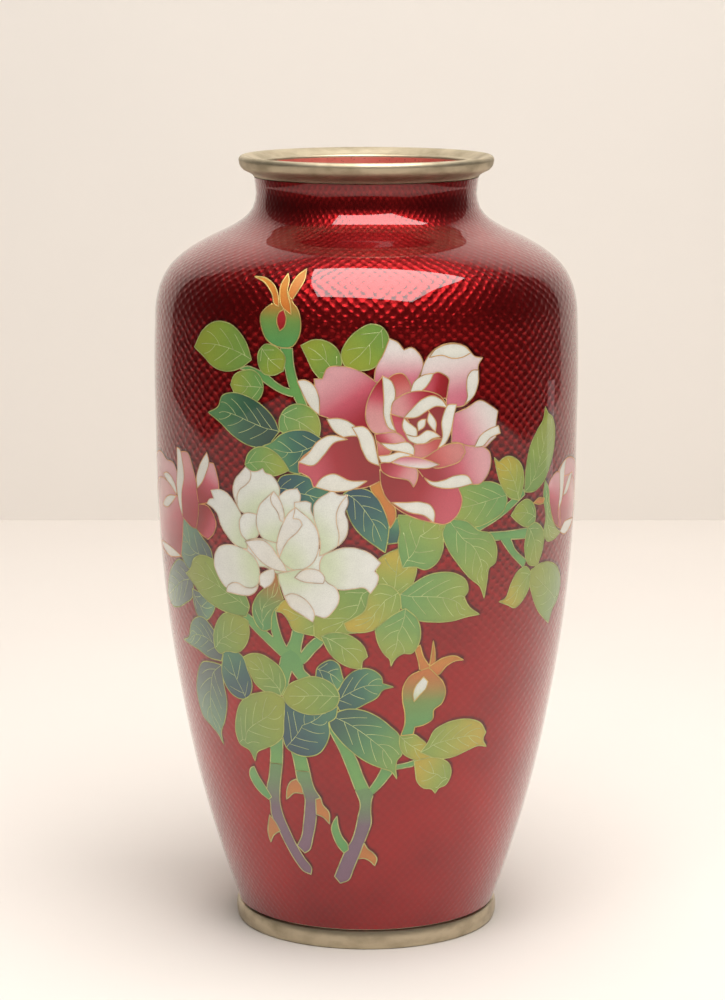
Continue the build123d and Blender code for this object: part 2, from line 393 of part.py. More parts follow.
     [(-15.3, 149.2), (-13.5, 151.8), (-10, 153.3), (-5, 151.4), (0.2, 151.3), (-3.5, 149), (-9, 148)]),
    ("pink_rose_petals",
     [(2.2, 181), (2.6, 184.3), (5, 189), (6.7, 193.3), (9, 192.3), (11, 189.9), (13, 190.6),
      (15.5, 188.7), (16.7, 185.8), (15.5, 182.3), (13, 179), (6, 179)]),
    ("pink_rose_petals",
     [(6, 181.5), (8.3, 182.9), (10.3, 183.1), (12.5, 180.7), (13.3, 178), (8, 174.5), (6.5, 178)]),
    ("pink_rose_petals",
     [(15.8, 181.8), (16.8, 185.3), (19.3, 189), (24.5, 191.4), (30.2, 190.2), (33.6, 187), (36, 186.6),
      (34.6, 184.7), (34.5, 180), (33, 175.8), (29.5, 172.8), (24, 172.8), (23.5, 176), (19, 178.5)]),
    ("pink_rose_folds",
     [(18.6, 187.5), (20.3, 189.6), (24.8, 191.2), (30, 190.2), (32, 188.3), (29, 187.1), (25.7, 187),
      (22.5, 188)]),
    ("pink_rose_folds",
     [(34.5, 183), (32.3, 183), (30.9, 181.5), (30.5, 178), (30.7, 175), (29.8, 173.1), (32.5, 175),
      (34.3, 178.8)]),
    ("pink_rose_petals",
     [(18.5, 181.2), (21, 183.1), (23.2, 182.3), (24.7, 180.9), (24.4, 178.5), (24, 175.3), (20, 175.5),
      (16.5, 177)]),
    ("pink_rose_folds",
     [(12.9, 177.8), (14, 180.5), (16.8, 182.4), (19.9, 182.8), (18.8, 180.5), (16.8, 178.2),
      (15, 177.2)]),
    ("pink_rose_petals",
     [(26, 170.5), (30.5, 172), (35, 174), (38.8, 172.2), (41.6, 170.3), (41, 166.5), (41, 162.5),
      (34.5, 158.5), (25.5, 159.5)]),
    ("pink_rose_petals",
     [(26.5, 162), (31.5, 160.6), (36.4, 160), (38.8, 158), (39.3, 155), (38.3, 151.7), (35.5, 149),
      (32, 149), (17, 149.8), (14.5, 153.5), (20, 158.5)]),
    ("pink_rose_folds",
     [(33.3, 160.1), (35.5, 163.5), (38.5, 165.1), (41.9, 165.9), (42.7, 163.5), (39, 162.4),
      (36.3, 160.2)]),
    ("pink_rose_petals",
     [(16.5, 158.3), (21, 160.3), (26, 161.7), (29.2, 161.2), (30.3, 158.8), (28.5, 156.3), (25, 155.1),
      (20, 154.8)]),
    ("pink_rose_petals",
     [(3.9, 154.7), (4.3, 150), (6, 146), (7.5, 144.3), (20.4, 138.2), (24, 137.6), (28, 140.3),
      (29.4, 144.5), (28, 148.5), (22, 149.7), (17.3, 151.8), (15, 154.5), (9, 156.5)]),
    ("pink_rose_folds",
     [(17.2, 151.9), (19.8, 150.6), (23, 150.8), (27, 152), (31.3, 151.5), (32.9, 149.2), (27.5, 148.3),
      (22, 148.7), (19, 149.9)]),
    ("pink_rose_folds",
     [(7.4, 144.8), (12, 144.7), (16.5, 144.6), (19.3, 143.5), (20.6, 141), (20.3, 138.2), (17.5, 140.4),
      (12.5, 141.8)]),
    ("pink_rose_petals",
     [(4.8, 182.5), (1.7, 178.3), (-0.1, 173.5), (0.1, 168.5), (2.3, 165.6), (4.8, 165.4), (8.3, 165.7),
      (7, 173), (6.3, 180)]),
    ("pink_rose_folds",
     [(4.6, 182.4), (7, 181.1), (8.3, 178.3), (8.2, 175), (7, 171), (7.6, 168.2), (9, 165.8), (6.5, 167),
      (5.2, 170), (5, 176)]),
    ("pink_rose_petals",
     [(7.8, 174.8), (10.5, 176.7), (14, 177.7), (18.5, 177.5), (22, 176), (24.4, 172.8), (22, 170),
      (14, 168.5), (7, 170.8)]),
    ("pink_rose_petals",
     [(7, 171.2), (13, 169.7), (20, 173), (24.5, 173), (23.5, 166), (22.5, 162.5), (19.5, 159.5),
      (14.5, 159), (12, 162), (8.5, 166.3)]),
    ("pink_rose_folds",
     [(10.9, 170), (13.3, 172.5), (16.3, 175.2), (19.5, 176.2), (22.3, 175), (24.3, 172.5), (20.5, 173),
      (17.5, 171.5), (14.8, 170)]),
    ("pink_rose_petals",
     [(11.8, 169.8), (14.7, 170), (18.2, 172), (20.3, 169), (20.5, 165.3), (15, 164.5), (13.5, 167)]),
    ("pink_rose_folds",
     [(11, 170), (10.5, 167.5), (11.5, 165.3), (14.9, 163.8), (14.8, 166.5), (13.3, 167.8), (11.8, 169)]),
    ("pink_rose_folds",
     [(18.6, 171.4), (19.6, 170.3), (20.7, 168.5), (20.6, 165.5), (19.2, 166.8), (18, 169)]),
    ("pink_rose_folds", [(15.1, 168.4), (16.1, 169.2), (17.6, 169.4), (17.2, 167.2), (15.3, 165.9)]),
    ("pink_rose_folds",
     [(11.4, 165.1), (14.8, 164.3), (18.3, 166), (20.3, 165.3), (22.2, 163.9), (19.5, 163.4),
      (17.5, 162.2), (14.8, 162.1), (12.5, 163.3)]),
    ("pink_rose_petals",
     [(14.1, 162), (18.2, 162.3), (20.5, 163.3), (22.6, 163.3), (22.2, 161), (20, 159.5), (17, 157.9),
      (13.5, 158)]),
    ("pink_rose_folds",
     [(24.4, 173.2), (27.2, 173.3), (26.3, 169.5), (25.3, 165), (23.8, 162), (21.3, 160.3), (22.7, 163.5),
      (22.5, 168.5), (23.3, 171.3)]),
    ("pink_rose_petals",
     [(2.4, 165.2), (5, 165.5), (8.7, 165.6), (10.9, 164), (12, 162.3), (9, 161.8), (3.8, 157.5),
      (3, 162)]),
    ("pink_rose_folds",
     [(-4.3, 167.3), (-0.5, 167.3), (1.6, 165), (2.8, 160.5), (3.8, 155.8), (0.7, 157.2), (-1.3, 160.5),
      (-2.4, 164)]),
    ("pink_rose_petals", [(2.9, 163.3), (5.5, 161.4), (7.5, 160), (5, 158), (3.4, 158.5)]),
    ("pink_rose_folds",
     [(4, 162.6), (8, 162.3), (12.5, 162.5), (14.1, 160.8), (14, 158.8), (10, 159.9), (6.5, 160.7)]),
    ("pink_rose_petals",
     [(3.9, 156.5), (4.3, 154.5), (6.5, 152.8), (10.5, 151.8), (12.4, 151.3), (14, 149.2), (15.1, 151.5),
      (15.1, 154.2), (12.7, 156), (8.5, 157.2)]),
    ("pink_rose_folds",
     [(3.4, 158.7), (6.4, 159), (9.5, 159.8), (13.7, 158.8), (10.5, 158), (7, 156.8), (4.3, 156.8)]),
    ("pink_rose_petals",
     [(7.2, 156.8), (10.5, 158.3), (13.8, 158.3), (18, 157.2), (22, 155.6), (18.5, 154.7), (14.5, 154.9),
      (10.5, 155.7)]),
]


def radius_at(z):
    """Outer radius of the enamel at height z, by a parabola through the three points of its stretch."""
    first = 0
    while z > PROFILE[first + 2][0] and first + 4 < len(PROFILE):
        first += 2
    (z0, r0), (z1, r1), (z2, r2) = PROFILE[first:first + 3]
    return (
        r0 * (z - z1) * (z - z2) / ((z0 - z1) * (z0 - z2))
        + r1 * (z - z0) * (z - z2) / ((z1 - z0) * (z1 - z2))
        + r2 * (z - z0) * (z - z1) / ((z2 - z0) * (z2 - z1))
    )


def arcs(points):
    """Arcs through each three points in turn, with a straight line for a last pair."""
    curves = []
    while len(points) > 2:
        curves.append(ThreePointArc(*points[:3]))
        points = points[2:]
    if len(points) == 2:
        curves.append(Line(*points))
    return curves


def wall_curve(inset, start=FOOT_HEIGHT):
    """The wall's profile moved in by inset, as arcs from height start up to the mouth."""
    points = []
    for i, (z, r) in enumerate(PROFILE):
        z0, r0 = PROFILE[max(i - 1, 0)]
        z1, r1 = PROFILE[min(i + 1, len(PROFILE) - 1)]
        slope = math.hypot(z1 - z0, r1 - r0)
        points.append((r - inset * (z1 - z0) / slope, z + inset * (r1 - r0) / slope))
    points[0] = (radius_at(start) - inset, start)
    points[-1] = (points[-1][0], WALL_TOP)
    return arcs([(0, r, z) for r, z in points])


def wall_layer(outer_inset, inner_inset):
    """A revolved layer of the wall, open at both ends."""
    outer = wall_curve(outer_inset)
    inner = wall_curve(inner_inset)
    ends = [Line(outer[-1] @ 1, inner[-1] @ 1), Line(inner[0] @ 0, outer[0] @ 0)]
    return revolve(make_face([*outer, *inner, *ends]), Axis.Z)


def cup(outer_inset, inner_inset, floor_bottom, floor_top):
    """A revolved layer of the wall with a floor."""
    outer = wall_curve(outer_inset, floor_bottom)
    inner = wall_curve(inner_inset, floor_top)
    rim = Line(outer[-1] @ 1, inner[-1] @ 1)
    floor = Polyline(outer[0] @ 0, (0, 0, floor_bottom), (0, 0, floor_top), inner[0] @ 0)
    return revolve(make_face([*outer, rim, *inner, floor]), Axis.Z)


def make_foot_ring():
    """The metal foot ring, its face turned in a shallow bulge and its lower edges eased."""
    side = Spline([(0, 40.8, FOOT_HEIGHT), (0, 41.5, 3.0), (0, 41.1, 0.6)])
    toe = ThreePointArc((0, 41.1, 0.6), (0, 40.9, 0.2), (0, 40.4, 0))
    rest = Polyline((0, 40.4, 0), (0, 38.9, 0), (0, FOOT_INNER_RADIUS, 0.5),
                    (0, FOOT_INNER_RADIUS, FOOT_HEIGHT), (0, 40.8, FOOT_HEIGHT))
    return revolve(make_face([side, toe, rest]), Axis.Z)


def make_mouth_ring():
    """The metal mouth ring: a flared collar with a rounded lip and a dished top."""
    inner = (wall_curve(ENAMEL + FOIL + COPPER + COUNTER_ENAMEL)[-1] @ 1).Y
    flare = Spline([(0, 34.8, WALL_TOP), (0, 35.3, 236.6), (0, 37.1, 237.6), (0, 38.8, 238.8), (0, 39.4, 240.5)])
    lip = ThreePointArc((0, 39.4, 240.5), (0, 39.2, 241.9), (0, 38.3, HEIGHT))
    dish = Spline([(0, 38.3, HEIGHT), (0, 36.4, 241.9), (0, 34.4, 240.9), (0, 33.2, 240.4)])
    bead = ThreePointArc((0, 33.2, 240.4), (0, 32.6, 240.2), (0, inner, 239.6))
    rest = Polyline((0, inner, 239.6), (0, inner, WALL_TOP), (0, 34.8, WALL_TOP))
    return revolve(make_face([flare, lip, dish, bead, rest]), Axis.Z)


def turn_angles(points):
    """How far the closed outline turns at each of its points, in degrees, positive to the left."""
    turns = []
    for i, here in enumerate(points):
        before = points[i - 1]
        after = points[(i + 1) % len(points)]
        a = (here[0] - before[0], here[1] - before[1])
        b = (after[0] - here[0], after[1] - here[1])
        turns.append(math.degrees(math.atan2(a[0] * b[1] - a[1] * b[0], a[0] * b[0] + a[1] * b[1])))
    return turns


def shrink(points, width):
    """The outline moved in by width, along the bisector at each of its points."""
    turns = turn_angles(points)
    side = math.copysign(1, sum(turns))
    moved = []
    for i, here in enumerate(points):
        before = points[i - 1]
        after = points[(i + 1) % len(points)]
        heading = math.atan2(here[1] - before[1], here[0] - before[0]) + math.radians(turns[i]) / 2
        reach = min(width / max(math.cos(math.radians(turns[i]) / 2), 0.2), 3 * width)
        inward = heading + side * math.pi / 2
        moved.append((here[0] + reach * math.cos(inward), here[1] + reach * math.sin(inward)))
    return moved, [abs(turn) > CORNER_ANGLE for turn in turns]


def strokes(points, corners):
    """The closed outline as arcs that meet at its corners."""
    starts = [i for i, corner in enumerate(corners) if corner] or [0]
    curves = []
    for start, end in zip(starts, starts[1:] + [starts[0] + len(points)]):
        curves.extend(arcs([points[i % len(points)] for i in range(start, end + 1)]))
    return curves


def prism(points, corners, azimuth):
    """The outline on the wall, extruded along the wall's outward direction at azimuth."""
    outward = Vector(math.sin(azimuth), -math.cos(azimuth), 0)
    plane = Plane(origin=outward * PRISM_START, x_dir=(math.cos(azimuth), math.sin(azimuth), 0), z_dir=outward)
    flat = [
        plane.from_local_coords((radius_at(z) * math.sin(arc / DESIGN_RADIUS - azimuth), z))
        for arc, z in points
    ]
    return extrude(make_face(strokes(flat, corners)), amount=PRISM_LENGTH, dir=outward)


def overlap(a, b):
    """Whether the bounding rectangles of two outlines meet."""
    return all(
        min(p[k] for p in a) < max(p[k] for p in b) and min(p[k] for p in b) < max(p[k] for p in a)
        for k in (0, 1)
    )


def cut_cell(solid, others):
    """solid without the cells in front of it, as a list of solids that are worth keeping."""
    left = solid.cut(*others) if others else solid
    return [piece for piece in left.solids() if piece.volume > SMALLEST_PIECE]


def inlay():
    """The enamel fills and the wires of every cell, by node, and all the cells' prisms."""
    layer = wall_layer(0, ENAMEL).solid()
    outer_prisms = []
    inner_prisms = []
    for node, points in CELLS:
        azimuth = sum(arc for arc, z in points) / len(points) / DESIGN_RADIUS
        inner_points, corners = shrink(points, WIRE)
        outer_prisms.append(prism(points, corners, azimuth).solid())
        inner_prisms.append(prism(inner_points, corners, azimuth).solid())
    fills = {}
    wires = {}
    for i, (node, points) in enumerate(CELLS):
        in_front = [outer_prisms[j] for j in range(i + 1, len(CELLS)) if overlap(points, CELLS[j][1])]
        region = layer.intersect(outer_prisms[i]).solids()[0]
        fill = region.intersect(inner_prisms[i]).solids()[0]
        fills.setdefault(node, []).extend(cut_cell(fill, in_front))
        wires.setdefault(node, []).extend(cut_cell(region, [inner_prisms[i], *in_front]))
    return fills, wires, layer.cut(*outer_prisms)


def export_group(name, solids):
    """Write the solids of one node to its STEP file."""
    shape = Compound(children=list(solids)) if len(solids) > 1 else solids[0]
    shape.label = name
    export_step(shape, f"parts/{name}.step", write_pcurves=False)


def main():
    os.makedirs("parts", exist_ok=True)
    under_foil = ENAMEL + FOIL
    inside = under_foil + COPPER
    base_disc = Cylinder(FOOT_INNER_RADIUS, BASE_ENAMEL, align=(Align.CENTER, Align.CENTER, Align.MAX))
    fills, wires, ground = inlay()
    nodes = {
        "copper_body": [cup(under_foil, inside, FOOT_HEIGHT, FOOT_HEIGHT + FLOOR)],
        "silver_foil": [wall_layer(ENAMEL, under_foil)],
        "counter_enamel": [cup(inside, inside + COUNTER_ENAMEL, FOOT_HEIGHT + FLOOR,
                               FOOT_HEIGHT + FLOOR + COUNTER_ENAMEL)],
        "base_enamel": [Pos(0, 0, FOOT_HEIGHT) * base_disc],
        "foot_ring": [make_foot_ring()],
        "mouth_ring": [make_mouth_ring()],
        "red_ground_enamel": ground.solids(),
        **fills,
    }
    for node, solids in wires.items():
        nodes.setdefault(WIRE_NODES[node], []).extend(solids)
    for name, solids in nodes.items():
        export_group(name, solids)


main()
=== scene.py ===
import math

import bpy
import numpy as np
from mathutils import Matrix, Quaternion, Vector
from mathutils.geometry import delaunay_2d_cdt
from mathutils.kdtree import KDTree


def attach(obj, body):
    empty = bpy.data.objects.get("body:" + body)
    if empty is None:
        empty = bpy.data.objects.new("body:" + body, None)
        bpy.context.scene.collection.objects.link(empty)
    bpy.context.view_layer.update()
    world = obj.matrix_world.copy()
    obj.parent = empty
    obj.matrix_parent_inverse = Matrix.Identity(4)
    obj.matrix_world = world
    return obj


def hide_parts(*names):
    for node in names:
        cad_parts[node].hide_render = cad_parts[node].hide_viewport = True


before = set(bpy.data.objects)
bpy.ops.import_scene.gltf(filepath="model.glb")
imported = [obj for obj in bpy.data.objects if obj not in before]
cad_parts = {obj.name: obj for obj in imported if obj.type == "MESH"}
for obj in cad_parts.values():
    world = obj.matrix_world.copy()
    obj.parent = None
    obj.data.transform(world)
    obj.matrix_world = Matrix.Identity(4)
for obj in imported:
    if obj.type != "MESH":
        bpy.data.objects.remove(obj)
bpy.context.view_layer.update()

# Cloisonne vase with a rose spray. The design is laid out in millimetres on the unrolled wall:
# arc length around the vase at DESIGN_RADIUS (0 at the front, growing to the viewer's right) and
# height above the foot.

MM = 0.001

# Vessel; SEAM is the gap between the enamel and each metal ring
HEIGHT = 242.4
DESIGN_RADIUS = 66.0
BACK_ARC = math.pi * DESIGN_RADIUS
WALL_BOTTOM = 6.4
WALL_TOP = 235.8
INNER_WALL_INSET = 2.4
FLOOR_TOP = 7.8
FOOT_INNER_RADIUS = 38.4
BASE_RECESS = 5.6
SEAM = 0.3
LATHE_STEPS = 240
SHARP_ANGLE = 35
LINING_LIP_RADIUS = 32.15
LINING_TOP = 239.5
LINING_THICKNESS = 0.4

# Outer surface of the enamel, height and radius
PROFILE = np.array([
    (6.4, 40.8), (20, 45.4), (45, 52.6), (75, 58.8), (105, 63.2), (135, 65.4), (160, 65.9), (178, 66.1),
    (190, 65.8), (198, 65.3), (204, 63.6), (209, 60.5), (213, 55.9), (217, 49.1), (220, 42.8), (223, 38.0),
    (226, 35.4), (230, 34.3), (235.8, 34.8),
])

# Meshing of the decorated wall
CORNER_ANGLE = 58.0
OUTLINE_STEP = 0.5
GROUND_GRID = 2.4
CELL_GRID = 1.3
SHADE_WIDTH = 0.7
ENAMEL_DEPTH = 0.9

# Painted shade in the enamel along the wires, and painted shadows that the wires cast through the ground on
# the foil
WIRE_SHADE_REACH = 0.8
SHADOW_SHIFT = (0.42, 0.42)
SHADOW_REACH = 0.9
SHADOW_WIDTH = 1.2

# Leaf veins: points along a midrib, and the length and spread of the side veins
VEIN_SAMPLES = 60
SMALLEST_VEINED_LEAF = 9.0
MIDRIB_PART = 0.84
VEIN_SPACING = 7
FIRST_VEIN = 0.14
VEINED_PART = 0.58
RIGHT_VEIN_DELAY = 0.06
VEIN_REACH = 0.20
VEIN_SPREAD = 0.72

# Silver wires, standing just proud of the polished enamel
WIRE_WIDTH = 0.34
VEIN_WIDTH = 0.17
WIRE_RISE = 0.018
VEIN_RISE = 0.012

# Foil pattern: pitch of the embossed dimples around and up the wall, their height, how far the
# hammering moves them, and the lengths up the profile between which they come and go
DIMPLE_PITCH = 2 * BACK_ARC / 112
DIMPLE_ROW = 3.2
FOIL_RELIEF = 0.23
HAMMER_DRIFT = 2.2
FOIL_FAINT_BELOW = 60
FOIL_FULL_ABOVE = 170
SHOULDER_RUN = 207
NECK_RUN = 221

# Colours of the ground, the rings and the plain enamels, as seen (sRGB), and the polish over them
DEEP_RUBY = (0.53, 0.032, 0.052)
CLEAR_RUBY = (0.61, 0.050, 0.064)
PALE_GOLD = (0.80, 0.75, 0.645)
WORN_GOLD = (0.60, 0.55, 0.45)
CORAL = ((0.96, 0.56, 0.50), (0.88, 0.40, 0.35))
DARK_RUBY = ((0.45, 0.08, 0.08), (0.30, 0.04, 0.05))
COPPER = ((0.86, 0.52, 0.38), (0.52, 0.28, 0.20))
SILVER = ((0.92, 0.90, 0.87), (0.78, 0.76, 0.74))
POLISH_IOR = 1.55

# Camera, lights' target and stage: places in metres, tilt in degrees, lens and sensor in millimetres
CAMERA_PLACE = (-0.0012, -0.9863, 0.3074)
CAMERA_TILT = 9.966
CAMERA_LENS = 114.5
SENSOR_WIDTH = 36
LIGHT_TARGET = (0, 0, 0.2)
STAGE_SIDE = 0.95
STAGE_BACK = 0.70
STAGE_TOP = 2.2

# Colour ramps of the enamels, from one end of a cell's shade line to the other, as seen (sRGB)
RAMPS = {
    "pink": [(0.89, 0.66, 0.68), (0.81, 0.36, 0.43), (0.63, 0.09, 0.15)],
    "rose": [(0.66, 0.11, 0.17), (0.80, 0.34, 0.40), (0.88, 0.62, 0.62)],
    "deep": [(0.58, 0.05, 0.09), (0.66, 0.10, 0.16), (0.80, 0.33, 0.39)],
    "blush": [(0.93, 0.90, 0.88), (0.90, 0.74, 0.75), (0.84, 0.45, 0.53)],
    "coral": [(0.76, 0.30, 0.28), (0.82, 0.42, 0.41), (0.84, 0.52, 0.50)],
    "core": [(0.52, 0.09, 0.11), (0.60, 0.12, 0.14)],
    "fold": [(0.915, 0.91, 0.86), (0.935, 0.93, 0.89)],
    "red": [(0.62, 0.10, 0.12), (0.70, 0.16, 0.18)],
    "white": [(0.83, 0.88, 0.73), (0.91, 0.925, 0.875), (0.93, 0.935, 0.91)],
    "cream": [(0.91, 0.90, 0.85), (0.93, 0.925, 0.90)],
    "light": [(0.46, 0.61, 0.27), (0.54, 0.64, 0.24), (0.60, 0.65, 0.22)],
    "green": [(0.42, 0.62, 0.32), (0.52, 0.645, 0.29), (0.62, 0.67, 0.26)],
    "yellow": [(0.54, 0.65, 0.27), (0.66, 0.67, 0.24), (0.76, 0.67, 0.20)],
    "teal": [(0.13, 0.33, 0.32), (0.20, 0.44, 0.35), (0.38, 0.60, 0.36)],
    "teal_green": [(0.16, 0.34, 0.30), (0.32, 0.55, 0.34), (0.50, 0.65, 0.29)],
    "deep_teal": [(0.14, 0.30, 0.35), (0.18, 0.39, 0.37), (0.28, 0.51, 0.38)],
    "grey": [(0.30, 0.36, 0.36), (0.36, 0.50, 0.42), (0.44, 0.62, 0.46)],
    "dark": [(0.13, 0.28, 0.23), (0.21, 0.40, 0.29), (0.36, 0.56, 0.34)],
    "stem": [(0.44, 0.66, 0.34), (0.38, 0.62, 0.33)],
    "bark": [(0.50, 0.37, 0.46), (0.49, 0.38, 0.46), (0.47, 0.38, 0.44), (0.42, 0.58, 0.36)],
    "thorn": [(0.80, 0.50, 0.18), (0.76, 0.46, 0.20)],
    "thorn_green": [(0.36, 0.64, 0.34), (0.44, 0.66, 0.36)],
    "sepal": [(0.80, 0.46, 0.18), (0.80, 0.52, 0.16)],
    "calyx": [(0.36, 0.62, 0.34), (0.46, 0.58, 0.28), (0.78, 0.44, 0.17)],
    "bract": [(0.36, 0.60, 0.34), (0.50, 0.58, 0.28), (0.72, 0.44, 0.18)],
}

# The wires' nodes: their colour, and the nodes of the enamel cells that they run around
WIRES = {
    "pink_rose_wires": ((0.88, 0.70, 0.48), ["pink_rose_petals", "pink_rose_folds"]),
    "white_rose_wires": ((0.90, 0.80, 0.68), ["white_rose_petals"]),
    "side_rose_wires": ((0.88, 0.64, 0.42), ["left_rose_petals", "right_rose_petals"]),
    "bud_wires": ((0.86, 0.74, 0.44), ["rose_buds"]),
    "leaf_wires": ((0.74, 0.77, 0.47), ["light_green_leaves", "green_leaves", "yellow_leaves", "teal_leaves",
                                        "blue_grey_leaves"]),
    "stem_wires": ((0.78, 0.78, 0.54), ["green_stems", "brown_stems", "thorns"]),
}
WIRES_OF = {enamel: node for node, (_, enamels) in WIRES.items() for enamel in enamels}
STEMS = ("green_stems", "brown_stems")
VEIN_COLOUR = (0.80, 0.85, 0.60)

